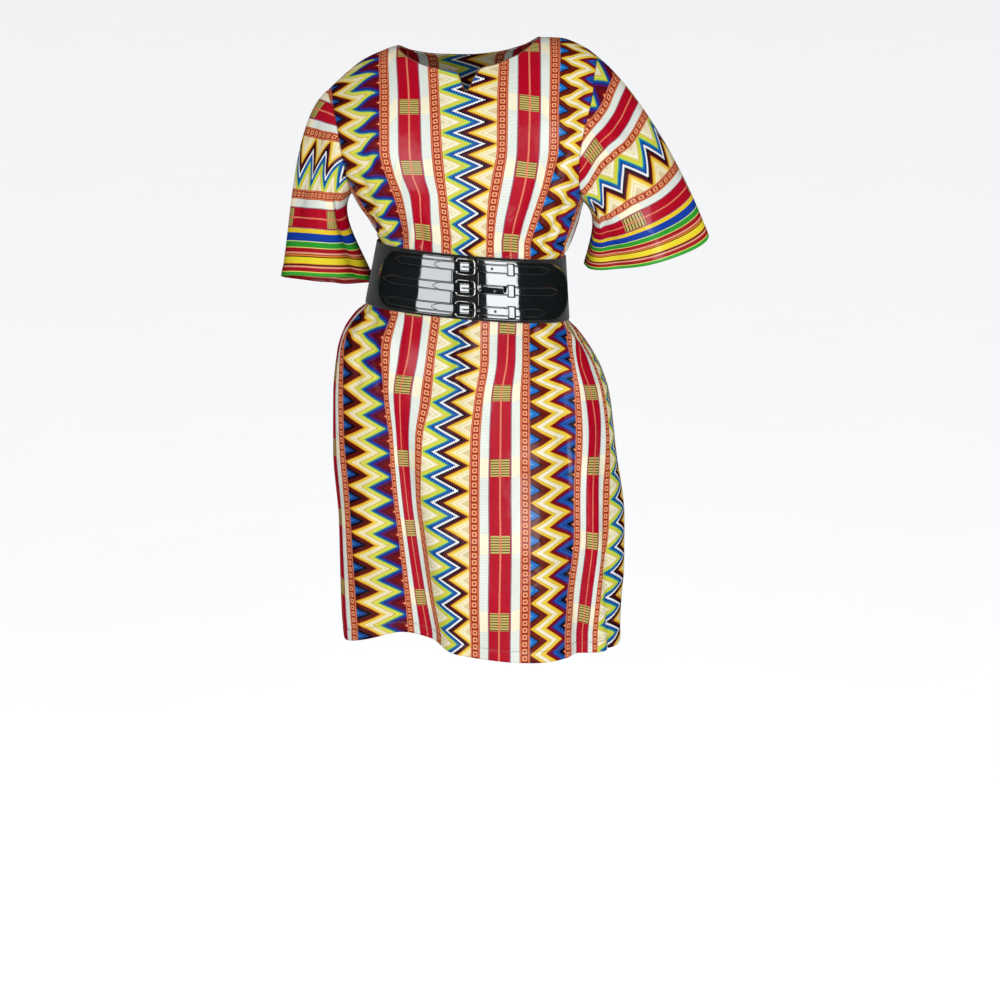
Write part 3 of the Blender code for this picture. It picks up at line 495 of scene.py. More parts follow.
def sleeve_grid(ring, cut):
    """Hermite curves from the armhole to the cuff: two end points and two end pulls."""
    turn = ring_turn(ring)[None, :, None]
    top = (1 + np.cos(turn)) / 2
    cut = {name: np.array(value) for name, value in cut.items()}
    cuff = cut["cuff"] + cut["across"] * np.cos(turn) + cut["forward"] * np.sin(turn)
    leave = cut["top_pull"] * top + cut["under_pull"] * (1 - top)
    reach = cut["top_end"] * top + cut["under_end"] * (1 - top)
    s = (np.arange(SLEEVE_ROWS + 1) / SLEEVE_ROWS)[:, None, None]
    return (ring[None] * (1 + 2 * s) * (1 - s) ** 2 + cuff * s * s * (3 - 2 * s)
            + leave * s * (1 - s) ** 2 - reach * s * s * (1 - s))


def fold_sleeve(grid, normals, side, turn):
    """The sleeve's cloth moved in along its folds, which start clear of the armhole."""
    s = (np.arange(SLEEVE_ROWS + 1) / SLEEVE_ROWS)[:, None]
    total = np.zeros(grid.shape[:2])
    for turn_top, turn_end, start, end, depth, half in SLEEVE_FOLDS[side]:
        away = (turn - np.radians(turn_top + (turn_end - turn_top) * s)) / math.radians(half)
        shown = ease((s - start) / SLEEVE_FADE) * ease((end - s) / SLEEVE_FADE)
        total += depth * shown * np.exp(-away ** 2)
    return grid - normals * total[..., None]


sleeves = {}
for name, column, turned in (("left", 0, 1), ("right", -1, -1)):
    ring = armhole_ring(front, back, column)
    turn = ring_turn(ring)
    grid = sleeve_grid(ring, SLEEVES[name])
    grid = fold_sleeve(grid, turned * grid_normals(grid, True), -turned, turn)
    sleeves[name] = {"grid": grid, "normals": turned * grid_normals(grid, True),
                     "turn": turn, "column": column}
    print("sleeve", name, grid.shape[:2])

# %% [markdown]
# ## One normal at each seam
# Two pieces that are sewn together must leave the seam in the same direction, or a dark slit
# opens between them. Their normals are averaged along the seam before the cloth gets its
# thickness.

# %% Shared normals
front_normals = grid_normals(front, False)
back_normals = -grid_normals(back, False)
for column in (0, -1):
    middle = unit(front_normals[UNDERARM_ROW:, column] + back_normals[UNDERARM_ROW:, column])
    front_normals[UNDERARM_ROW:, column] = back_normals[UNDERARM_ROW:, column] = middle
for seam in (slice(0, SHOULDER_COLUMNS + 1), slice(-SHOULDER_COLUMNS - 1, None)):
    middle = unit(front_normals[0, seam] + back_normals[0, seam])
    front_normals[0, seam] = back_normals[0, seam] = middle
for sleeve in sleeves.values():
    column, last = sleeve["column"], UNDERARM_ROW
    middle = unit(armhole_ring(front_normals, back_normals, column) + sleeve["normals"][0])
    sleeve["normals"][0] = middle
    front_normals[:last + 1, column] = middle[:last + 1]
    back_normals[last - 1:0:-1, column] = middle[last + 1:]
    back_normals[0, column], back_normals[last, column] = middle[0], middle[last]
print("normals shared at", 4 + len(sleeves), "seams")

# %% [markdown]
# ## Where the print lies
# The print belongs to the flat cloth, so each point of a panel gets its place on the cloth in
# metres: u across the strips, with 0 on the middle of the centre-front zigzag, and v down the
# cloth. On the front the strips swing with the body and vanish into folds. A chart says, for
# a few heights, how far from the centre line each strip's edge lies.

# %% Charts of the strips on the front
STRIP_EDGES = (-0.225, -0.145, -0.0955, -0.046, 0.046, 0.0955, 0.145, 0.225, 0.2745, 0.324)
BODICE_EDGES = (-0.185,) + STRIP_EDGES[1:7] + (0.185,)
BODICE_CHART = table(
    "level middle e1 e2 e3 e4 e5 e6 middle_right",
    (-293, -128, -98.4, -70.1, -23.7, 28.7, 66.7, 96.9, 124),
    (-263, -137, -103.9, -71.5, -26.7, 29.5, 72.8, 107.4, 136),
    (-232, -150, -112, -71.3, -29.6, 31.8, 81.8, 120.2, 150),
    (-195, -164.5, -124.6, -82.5, -33.3, 37.9, 90.1, 132.3, 160),
    (-157, -168, -132.7, -86.8, -36.9, 44.7, 93.4, 138.9, 166),
    (-82, -176, -132.9, -87.9, -41.2, 45.5, 95.2, 140.2, 171),
    (-22, -184, -135.4, -92.8, -44.7, 48.5, 94.4, 142.2, 176), per=1000)
SKIRT_CHART = table(
    "level e0 e1 e2 e3 e4 e5 e6 e7 e8 e9",
    (-915, -174.2, -94.6, -63.5, -41.7, 4.1, 48.4, 96.6, 152.6, 179.5, 203.2),
    (-851, -178.3, -99.5, -74, -53.9, 1.9, 49.2, 97.3, 155.4, 186.3, 209),
    (-756, -183.6, -108.3, -88.1, -65.8, 2.1, 50.8, 97.1, 165.2, 194.7, 220.8),
    (-693, -186.7, -115.6, -95.4, -72.6, 2.2, 50, 97, 164.8, 194.5, 221.9),
    (-599, -193.8, -121.9, -103.5, -69.1, 4, 50.8, 96, 167.4, 199.3, 226.5),
    (-537, -194.6, -130, -104.6, -55.6, 10.7, 51.5, 95.9, 165.7, 191.3, 222.4),
    (-475, -194.7, -133.2, -90.5, -49.3, 19.5, 60.7, 95.8, 160.6, 174.8, 212.8),
    (-421, -180.5, -117.6, -84.1, -41.4, 20, 63.1, 95.7, 153.6, 170.8, 194.2), per=1000)
# Height of the middle of each gold block, on the left and on the right of the front.
BLOCK_CHART = table(
    "v left right",
    (1000, -1004, -1046), (840, -857, -883), (720, -745, -760.5), (600, -633, -640.5),
    (480, -518, -526), (360, -407, -420.5), (240, -288, -293.5), (120, -183, -183),
    (0, -97, -88), (-120, -17.5, -10), per=1000)
# How far down the side zigzags are dragged: their outer halves, towards the armholes and the
# waist, further than their inner halves. The places say where one column of the table gives
# way to the next.
DRAG_PLACES = (-0.183, -0.147, -0.128, -0.113, 0.113, 0.128, 0.160, 0.200, 0.258, 0.292)
SWIRL = 0.0032            # and how far, in metres, the right one sags in its inner third
SWIRL_HALF_WIDTH = 0.010
SWIRL_FROM, SWIRL_OVER = -0.22, 0.05
DRAG = table(
    "level outer_left left right outer_right second_red second_red_end",
    (-950, -4, -4, -5, -5, 0, 4.5), (-400, -4, -4, -5, -5, 0, 4.5),
    (-290, 45.5, 31, 12, 18, 18, 18), (-235, 45.5, 31, 12, 20, 20, 20),
    (-205, 45, 30, 15, 24, 24, 24), (-170, 40, 21, 12, 19, 19, 19),
    (-140, 34, 15.5, 12, 16, 16, 16), (-110, 26, 15, 12, 13, 13, 13),
    (-80, 20, 16, 12, 12, 12, 12), (-50, 17, 16, 12, 12, 12, 12), per=1000)
LEFT_FROM, LEFT_OVER = -0.040, 0.042  # where the left blocks' heights begin to hold, in u
DROOP = 0.0065            # how much lower the print lies on the right, above the hem
DROOP_X, DROOP_X_OVER = 0.06, 0.06
DROOP_FROM, DROOP_OVER = -0.86, 0.18
SIDE_FROM = 1.08          # turn from the middle, in radians, where the skirt's side begins
YOKE_STRETCH = 1.14       # the cloth runs over the front of the shoulders longer than its height
BACK_START = 0.035        # the back's print lies this much further down
BACK_CLOTH = table(       # cloth from the centre back to the side seam or armhole
    "level half",
    (-950, 345), (-500, 310), (-420, 275), (-320, 265), (-240, 255), (10, 240), per=1000)
print("strips across the front:", len(STRIP_EDGES) - 1)

# %% Places on the cloth
def strip_place(x, spacing, level, chart, edges):
    """u from the chart: between two edges in proportion, beyond the last by cloth length."""
    lines = [smooth(level, chart["level"], chart[name]) for name in chart if name != "level"]
    u = np.full(x.shape, edges[0])
    for k in range(len(edges) - 1):
        share = np.clip((x - lines[k]) / (lines[k + 1] - lines[k]), 0.0, 1.0)
        u += (edges[k + 1] - edges[k]) * share
    width = np.abs(np.diff(x, axis=1)) + 1e-9
    right = np.clip((x[:, 1:] - lines[-1][:, 1:]) / width, 0.0, 1.0) * spacing
    left = np.clip((lines[0][:, :-1] - x[:, :-1]) / width, 0.0, 1.0) * spacing
    u[:, 1:] += np.cumsum(right, axis=1)
    u[:, :-1] -= np.cumsum(left[:, ::-1], axis=1)[:, ::-1]
    return u


def dragged(u, level):
    """How far down the print is dragged: the table's columns are eased into each other."""
    outer_left, left, right, outer_right, red, red_end = (
        smooth(level, DRAG["level"], DRAG[name]) for name in DRAG if name != "level")
    outer, start, fade, middle, middle_end, back, hold, far, red_start, red_stop = DRAG_PLACES
    drag = left * ease((middle - u) / (middle - fade))
    drag += (outer_left - left) * ease((start - u) / (start - outer))
    drag += right * ease((u - middle_end) / (back - middle_end))
    drag += (outer_right - right) * ease((u - hold) / (far - hold))
    drag += (red - outer_right) * ease((u - far) / (red_start - far))
    drag += (red_end - red) * np.clip((u - red_start) / (red_stop - red_start), 0, 1)
    sag = SWIRL * np.exp(-((u - hold) / SWIRL_HALF_WIDTH) ** 2)
    return drag + sag * ease((level - SWIRL_FROM) / SWIRL_OVER)


def column_lengths(grid):
    """Length of cloth from the top row down to each row, along each column."""
    step = np.linalg.norm(np.diff(grid, axis=0), axis=-1)
    return np.concatenate([np.zeros((1, grid.shape[1])), np.cumsum(step, axis=0)])


def yoke_place(grid, v):
    """Above the yoke line v follows the cloth's own length over the shoulder."""
    along = column_lengths(grid)
    rise = (along[YOKE_ROWS] - along) * YOKE_STRETCH
    rows = np.arange(grid.shape[0])[:, None]
    return np.where(rows < YOKE_ROWS, v[YOKE_ROWS] - rise, v)


print("edges of the strips:", len(STRIP_EDGES))

# %% The front's place on the cloth
plain_front = body_point(-1, front_angles, front_levels, folds="none")
spacing = np.linalg.norm(np.diff(plain_front, axis=1), axis=-1)
x = body_point(-1, front_angles, front_levels, folds="large")[..., 0]
front_u = np.where(front_levels > BELT_LEVEL,
                   strip_place(x, spacing, front_levels, BODICE_CHART, BODICE_EDGES),
                   strip_place(x, spacing, front_levels, SKIRT_CHART, STRIP_EDGES))
# Below the belt the sides are gathered, so that the same cloth meets the side seam all down.
for way, seam in ((-1, slice(0, 1)), (1, slice(-1, None))):
    on_side = np.clip((way * front_angles - SIDE_FROM) / (math.pi / 2 - SIDE_FROM), 0.0, 1.0)
    short = front_u[-1, seam] - front_u[:, seam]
    front_u = front_u + np.where(front_levels < BELT_LEVEL, on_side ** 2 * short, 0.0)
left_v = smooth(front_levels, BLOCK_CHART["left"], BLOCK_CHART["v"])
right_v = smooth(front_levels, BLOCK_CHART["right"], BLOCK_CHART["v"])
to_left = ease((LEFT_FROM - front_u) / LEFT_OVER)
droop = (DROOP * ease((x - DROOP_X) / DROOP_X_OVER)
         * ease((front_levels - DROOP_FROM) / DROOP_OVER))
dragged_v = right_v + (left_v - right_v) * to_left - droop - dragged(front_u, front_levels)
front_v = yoke_place(plain_front, dragged_v)
print("front cloth u from", front_u.min().round(3), "to", front_u.max().round(3))

# %% The back's place on the cloth
plain_back = body_point(1, back_angles, back_levels, folds="none")
spacing = np.linalg.norm(np.diff(plain_back, axis=1), axis=-1)
along = np.concatenate([np.zeros((len(spacing), 1)), np.cumsum(spacing, axis=1)], axis=1)
middle = np.argmin(np.abs(plain_back[0, :, 0]))
along = along - along[:, middle:middle + 1]
half = smooth(back_levels, BACK_CLOTH["level"], BACK_CLOTH["half"])
back_u = np.where(along < 0, along / -along[:, :1], along / along[:, -1:]) * half
back_v = column_lengths(plain_back)
back_v = back_v - back_v[YOKE_ROWS] + BACK_START
print("back cloth u from", back_u.min().round(3), "to", back_u.max().round(3))

# %% [markdown]
# The sleeves are cut across the strips, so the strips run round them like hoops. u counts
# from the hem upwards, turned the other way on the right sleeve, and v runs round the cuff.

# %% Places on the sleeves' cloth
CUFF_ROUND = 0.460
SLEEVE_CUT = table(       # cloth from the hem to the armhole seam, by turn round the armhole
    "turn left right",
    (0, 0.335, 0.385), (45, 0.300, 0.368), (90, 0.235, 0.330), (115, 0.198, 0.300),
    (135, 0.170, 0.266), (180, 0.130, 0.160), (225, 0.170, 0.240), (270, 0.235, 0.320),
    (315, 0.300, 0.368), (360, 0.335, 0.385))
BLOCK_TURN = {"left": 108.0, "right": 91.0}    # degrees round the cuff where a block sits


def resample(grid, share):
    """The grid with new rows, at these shares of each column's own length."""
    along = column_lengths(grid[..., :3])
    along = along / along[-1:]
    return np.stack([np.stack([np.interp(share[:, j], along[:, j], grid[:, j, k])
                               for k in range(grid.shape[-1])], -1)
                     for j in range(grid.shape[1])], 1)


for name, sleeve in sleeves.items():
    cut = smooth(np.degrees(sleeve["turn"]), SLEEVE_CUT["turn"], SLEEVE_CUT[name])
    above = 1 - HEM_ROWS[:, None] / cut
    rows = np.linspace(0.0, 1.0, SLEEVE_ROWS)[:, None] * above[0]
    share = np.concatenate([rows, above[1:]])
    both = resample(np.concatenate([sleeve["grid"], sleeve["normals"]], -1), share)
    sleeve["grid"], sleeve["normals"] = both[..., :3], unit(both[..., 3:])
    sleeve["from_hem"] = (1 - share) * cut
    sleeve["round"] = (sleeve["turn"] - math.radians(BLOCK_TURN[name])) / math.tau * CUFF_ROUND
    print("sleeve", name, "cloth from", cut.min().round(3), "to", cut.max().round(3))

# %% [markdown]
# ## From grid to garment piece
# A cut piece of cloth is a thin wall: the outer grid, the same grid moved in along its
# normals, and rims along the open edges. A sewn edge turns in, so the outermost row or
# column is set a little deeper than its neighbour, and that shows as a seam. The two numbers
# u and v of every corner go into a UV map, which the print reads.

# %% Cloth walls
CLOTH_THICKNESS = 0.0011
EDGE_ROLL = 0.0016        # width of the turned edge
EDGE_DROP = 0.0011        # how deep the seam lies


def to_mesh(name, vertices, faces, places=None):
    """A mesh object from arrays, faces pointing out: the sum of a . (b x c) over all triangles
    is positive for a closed surface. places gives u and v for each corner of each face."""
    a, b, c, d = (vertices[faces[:, i]] for i in range(4))
    volume = np.sum(a * np.cross(b, c)) + np.sum(a * np.cross(c, d))
    if volume < 0:
        faces = faces[:, ::-1]
        places = None if places is None else places[:, ::-1]
    mesh = bpy.data.meshes.new(name)
    mesh.from_pydata(vertices.tolist(), [], faces.tolist())
    if places is not None:
        layer = mesh.uv_layers.new(name="cloth")
        layer.uv.foreach_set("vector", places.reshape(-1, 2).astype(np.float32).ravel())
    mesh.shade_smooth()
    piece = bpy.data.objects.new(name, mesh)
    bpy.context.scene.collection.objects.link(piece)
    return piece


def add_line(grid, at, share):
    """The grid with one more row, this share of the way from its end row to the next."""
    end, other = (0, 1) if at == 0 else (-1, -2)
    line = grid[end] + (grid[other] - grid[end]) * share
    return np.insert(grid, 1 if at == 0 else len(grid) - 1, line, axis=0)


def roll_edges(point, normal, place, sides):
    """Adds a line just inside every edge and sinks the edge itself, for a turned seam."""
    layers = np.concatenate([point, normal, place], -1)
    for axis, at in sides:
        turned = np.swapaxes(layers, 0, 1) if axis else layers
        end, other = (0, 1) if at == 0 else (-1, -2)
        length = np.linalg.norm(turned[other, :, :3] - turned[end, :, :3], axis=-1)
        share = np.clip(EDGE_ROLL / np.maximum(length, 1e-6), 0.05, 0.6)[:, None]
        turned = add_line(turned, at, share)
        turned[end, :, :3] -= unit(turned[end, :, 3:6]) * EDGE_DROP
        layers = np.swapaxes(turned, 0, 1) if axis else turned
    return layers[..., :3], unit(layers[..., 3:6]), layers[..., 6:]


def cloth_wall(name, outer, normals, places, around, thickness=CLOTH_THICKNESS, turned=0.0):
    """Outer and inner grid with rims. Round a tube the last column meets the first. The
    inner side shows the print this much further on, as cloth turned up inside does."""
    inner = outer - normals * thickness
    rows, columns = outer.shape[:2]
    last = columns - 1 if not around else columns
    row, column = np.meshgrid(np.arange(rows - 1), np.arange(last), indexing="ij")
    row, column = row.ravel(), column.ravel()
    cell = [(row, column), (row + 1, column), (row + 1, column + 1), (row, column + 1)]
    faces, corners = [], []

    def keep(parts):
        faces.append(np.stack([r * columns + c % columns + layer * rows * columns
                               for r, c, layer in parts], -1))
        corners.append(np.stack([places[r, c] + (turned * layer, 0.0) for r, c, layer in parts], 1))

    keep([(r, c, 0) for r, c in cell])
    keep([(r, c, 1) for r, c in cell[::-1]])
    c = np.arange(last)
    for r, flip in ((0 * c, 0), (0 * c + rows - 1, 1)):
        rim = [(r, c, 0), (r, c + 1, 0), (r, c + 1, 1), (r, c, 1)]
        keep(rim[::-1] if flip else rim)
    if not around:
        r = np.arange(rows - 1)
        for c, flip in ((0 * r, 1), (0 * r + columns - 1, 0)):
            rim = [(r, c, 0), (r + 1, c, 0), (r + 1, c, 1), (r, c, 1)]
            keep(rim[::-1] if flip else rim)
    vertices = np.concatenate([outer.reshape(-1, 3), inner.reshape(-1, 3)])
    return to_mesh(name, vertices, np.concatenate(faces), np.concatenate(corners))


print("cloth", CLOTH_THICKNESS, "m thick")

# %% [markdown]
# A hem is the cloth turned up and stitched down, so it stands out by about a layer and has a
# groove where the stitches pull it in. It is worked into the grids before they get a wall.

# %% Front and back panels
HEM_THICKER = 0.0006
HEM_EDGE = 0.003          # height over which the hem's second layer ends
HEM_GROOVE = 0.0005
HEM_GROOVE_WIDTH = 0.0011
HEM_SHOWN = 0.0090        # how much further on the print is inside a sleeve's hem


def turned_hem(from_hem):
    """How far the hem stands out: a doubled edge with a stitched groove along its top."""
    groove = HEM_GROOVE * np.exp(-((from_hem - HEM_ALLOWANCE) / HEM_GROOVE_WIDTH) ** 2)
    return HEM_THICKER * ease((HEM_ALLOWANCE - from_hem) / HEM_EDGE + 0.5) - groove


ALL_SIDES = ((0, 0), (0, -1), (1, 0), (1, -1))
above_hem = np.concatenate([np.full(len(front) - len(HEM_ROWS), 1.0), HEM_ROWS])[:, None]
panels = {}
for name, grid, normals, u, v in (("dress_front", front, front_normals, front_u, front_v),
                                  ("dress_back", back, back_normals, back_u, back_v)):
    raised = grid + normals * turned_hem(above_hem)[..., None]
    parts = roll_edges(raised, normals, np.stack([u, v], -1), ALL_SIDES)
    panels[name] = cloth_wall(name, *parts, around=False)
    print(name, "has", len(panels[name].data.polygons), "faces")

# %% Sleeve pieces
for name, sleeve in sleeves.items():
    raised = sleeve["grid"] + sleeve["normals"] * turned_hem(sleeve["from_hem"])[..., None]
    place = np.stack([sleeve["from_hem"], sleeve["round"] + 0 * sleeve["from_hem"]], -1)
    parts = roll_edges(raised, sleeve["normals"], place, ((0, 0), (0, -1)))
    places = np.concatenate([parts[2], parts[2][:, :1] + (0.0, CUFF_ROUND)], axis=1)
    name = "dress_sleeve_" + name
    panels[name] = cloth_wall(name, *parts[:2], places, around=True, turned=HEM_SHOWN)
    print(name, "has", len(panels[name].data.polygons), "faces")

# %% [markdown]
# ## The printed cotton
# Wax print is plain-woven cotton, calendered until it shines a little, with colours that go
# right through. The print imitates strip weaving, so every edge steps from thread to thread.
# One shader draws it from u and v: it folds u into a repeat of 370 mm, finds which strip a
# point is in, and reads that strip's colours from a ramp. In a zigzag strip the ramp runs
# along u minus a triangle wave of v, which is all that a zigzag is.

# %% Colours and nodes
MATH = "ShaderNodeMath"
MIX = "ShaderNodeMix"
RAMP = "ShaderNodeValToRGB"
NOISE = "ShaderNodeTexNoise"
MAP = "ShaderNodeMapRange"
BUMP = "ShaderNodeBump"
SPLIT = "ShaderNodeSeparateXYZ"
OBJECT_PLACE = {"kind": "ShaderNodeTexCoord", "output": 3}
BLEND = {"output": 2, "data_type": "RGBA"}
PRINT_BRIGHTNESS = 0.56   # the hex values are as seen in full light, the cloth itself is darker


def colour(code, strength=1.0):
    """A hex colour as sRGB, turned to linear, times a strength."""
    parts = [int(code[i:i + 2], 16) / 255 for i in (1, 3, 5)]
    linear = [p / 12.92 if p <= 0.04045 else ((p + 0.055) / 1.055) ** 2.4 for p in parts]
    return (*[p * strength for p in linear], 1.0)


def dyed(code):
    """A printed colour, as dark as the cloth."""
    return colour(code, PRINT_BRIGHTNESS)


def fill(tree, node, inputs):
    """Fills a node's inputs, in order or by name, with numbers or with other nodes' outputs."""
    for slot, value in inputs.items() if isinstance(inputs, dict) else enumerate(inputs):
        if isinstance(value, bpy.types.NodeSocket):
            tree.links.new(value, node.inputs[slot])
        else:
            node.inputs[slot].default_value = value


def add(tree, kind, inputs=(), output=0, **settings):
    """Adds a node with these inputs and properties, and gives back one of its outputs."""
    made = tree.nodes.new(kind)
    for name, value in settings.items():
        setattr(made, name, value)
    fill(tree, made, inputs)
    return made.outputs[output]


def new_material(name):
    """An empty Principled material: the material, its tree and its shader."""
    made = bpy.data.materials.new(name)
    made.use_nodes = True
    return made, made.node_tree, made.node_tree.nodes["Principled BSDF"]


print("white, linear:", colour("#ffffff"))

# %% [markdown]
# The zigzags differ only in their ramps. The centre strip runs from cream lobes edged in lime
# over blue, a white line and black to cream lobes edged in gold. The side strips have blue
# triangles on the left, a cream line in gold, and then blue or olive on dark red. Sizes that
# one would measure with a ruler on the cloth are in millimetres in the ramps, where each
# colour has the place at which it starts.

# %% The strips' colours
ZIGZAG_RANGE = (-72.0, 72.0)
ZIGZAG_WIDE = (
    (-72, "#e2cf9e"), (-60, "#f6edc8"), (-52, "#d9c690"), (-49, "#fbf3d2"), (-39, "#ddd28e"),
    (-35, "#dccb3a"), (-28, "#c6dc48"), (-20, "#1c8a92"), (-15.5, "#0f60b0"), (-10, "#0a4090"),
    (-3.9, "#f8f8f8"), (3.9, "#150910"), (11, "#520f1c"), (19.5, "#a03a14"), (22, "#ecc02c"),
    (30, "#f4d974"), (37, "#fdf0be"), (43, "#dcc690"), (46, "#fbf0cc"), (54, "#e2cc98"))
ZIGZAG_BLUE = (
    (-72, "#3a9ad8"), (-50, "#146cc0"), (-39, "#1a0c18"), (-34, "#6a1608"), (-18, "#b4560e"),
    (-16, "#f2cc3a"), (-9, "#cdb146"), (-6.5, "#fdf4d4"), (-2.5, "#f3e6cc"), (1, "#fdf4d4"),
    (5, "#d6c468"), (7.5, "#f3cf3c"), (16.5, "#e08a1c"), (18.5, "#7c0812"), (28, "#5c1464"),
    (32, "#1a3f9c"), (36, "#1a62b8"), (41, "#12317c"), (44, "#1a54a8"), (48, "#0c0c1e"),
    (58, "#e8703a"), (61, "#fbcdae"))
ZIGZAG_OLIVE = (
    (-72, "#2a6aa8"), (-48, "#16448c"), (-41, "#120a18"), (-33, "#5a120a"), (-19.5, "#a8520e"),
    (-17.5, "#eaa62a"), (-14, "#f0cf4c"), (-9, "#d8bd58"), (-7, "#f8edc4"), (-3, "#e6d8ac"),
    (1, "#f8edc4"), (4, "#c3ac34"), (8, "#ece25a"), (12, "#c6d444"), (19, "#1a7c86"),
    (22, "#1648a0"), (27.5, "#1c2078"), (32, "#5e1870"), (36, "#5a0620"), (46, "#760810"),
    (57.5, "#e8703a"), (60.5, "#fbcdae"))
BORDER_RANGE = (0.0, 90.0)
BORDER = (                # from the sleeve's hem upwards
    (0, "#3aa832"), (6.5, "#efe36a"), (8, "#a5121c"), (14.5, "#f0a184"), (17.5, "#7a0f16"),
    (19, "#2c1012"), (20.5, "#e08a2a"), (22, "#f2dc2c"), (33, "#2a1410"), (34.5, "#e8862e"),
    (37, "#7c0e18"), (38.5, "#f0a184"), (41.5, "#a8121e"), (49, "#eee07a"), (50.5, "#2fa030"),
    (60, "#e9ee9a"), (61.5, "#0f3fa6"), (75.5, "#f2cf26"), (83.5, "#a8121e"))
CHAIN_RANGE = (0.0, 10.0)
RINGS = ((0, "#8c2a12"), (1.7, "#f6a070"), (3.8, "#9c2c12"))
CHAIN_LINES = ((0, "#9c2c12"), (4.9, "#7a1c12"), (5.4, "#e27a52"), (7.3, "#86241a"),
               (8, "#ec9a76"))
CREAM = "#fdf3d2"
CRIMSON = "#b80022"
DETAILS = {               # repeated along the strips: half the pitch, half the mark, its colours
    "ticks": (0.0012, 0.00036, "#bccfc0", "#f6f6ec"),
    "dots": (0.0010, 0.0005, "#b9a0b4", "#5c1038"),
    "bars": (0.00205, 0.00075, "#4e3614", "#cdb868"),
    "beads": (0.0018, 0.0012, "#f2936c", "#c8413c")}
print("stops in the ramps:", len(ZIGZAG_WIDE), len(ZIGZAG_BLUE), len(ZIGZAG_OLIVE), len(BORDER))

# %% Sizes of the print, in metres
REPEAT = 0.370
RED_PLACES = (0.0955, 0.2745)
SIDE_ZIGZAG = 0.185
WIDE_MIDDLE = -0.0005     # the zigzags' own middles, a little beside those of their strips
SIDE_MIDDLE = 0.1814
PITCH = 0.040
WIDE_SWING = 0.0238       # half the sideways swing of the centre zigzag
SIDE_SWING = 0.0196
TIP_PLACE = 0.004         # how far above the gold blocks the zigzags' tips lie
THREAD = 0.0017           # step of the print's edges, drawn coarse so that it shows
BLOCK_REPEAT = 0.120
BLOCK_HALF = 0.0140       # half the height of a gold block
PLAIN_HALF = 0.0160       # and of the plain cream beside it
CHAIN_PITCH = 0.011
CHAIN_PLACE = 0.041       # from the middle of the crimson stripe
RING_ROUNDING = 0.0016
BORDER_TOP = 0.0835
WEAVE = 0.0009            # half the pitch of the threads, two or three times the real one
HALF_WIDTHS = {"side": 0.060, "chain": 0.0495, "rings": 0.0048, "cream": 0.0325,
               "dots": 0.0188, "crimson": 0.0172, "blocks": 0.0155, "beads": 0.0014,
               "border": BORDER_TOP}
print("repeat of the print:", REPEAT, "m")

# %% The print's shader
def steps_of_colour(tree, distance, stops, low, high):
    """Steps of one colour each along a distance, from low to high in millimetres."""
    share = add(tree, MATH, (distance, 1000 / (high - low), -low / (high - low)),
                operation="MULTIPLY_ADD")
    made = add(tree, RAMP, (share,))
    ramp = made.node.color_ramp
    ramp.interpolation = "CONSTANT"
    ramp.elements.remove(ramp.elements[1])
    for i, (start, code) in enumerate(stops):
        place = (start - low) / (high - low)
        stop = ramp.elements.new(place) if i else ramp.elements[0]
        stop.color = dyed(code)
    return made


def zigzag(tree, across, middle, swing, v, stops):
    """Colour by across minus middle minus swing times a triangle wave of v."""
    wave = add(tree, MATH, (v, PITCH / 2), operation="PINGPONG")
    wave = add(tree, MATH, (wave, -4 * swing / PITCH, swing), operation="MULTIPLY_ADD")
    local = add(tree, MATH, (across, middle), operation="SUBTRACT")
    place = add(tree, MATH, (local, wave), operation="SUBTRACT")
    return steps_of_colour(tree, place, stops, *ZIGZAG_RANGE)


def distance_from(tree, across, place):
    """How far a value is from a place: the absolute value of their difference."""
    apart = add(tree, MATH, (across, place), operation="SUBTRACT")
    return add(tree, MATH, (apart,), operation="ABSOLUTE")


def cover(tree, under, over, distance, half):
    """One colour over another wherever a distance is less than half a width."""
    inside = add(tree, MATH, (distance, half), operation="LESS_THAN")
    return add(tree, MIX, {0: inside, 6: under, 7: over}, **BLEND)


print("steps of the zigzags:", len(ZIGZAG_WIDE), len(ZIGZAG_BLUE), len(ZIGZAG_OLIVE))

# %% [markdown]
# The whole print is a pile of bands, from the widest to the narrowest, so each covers the
# middle of the one below and leaves two stripes of it showing.

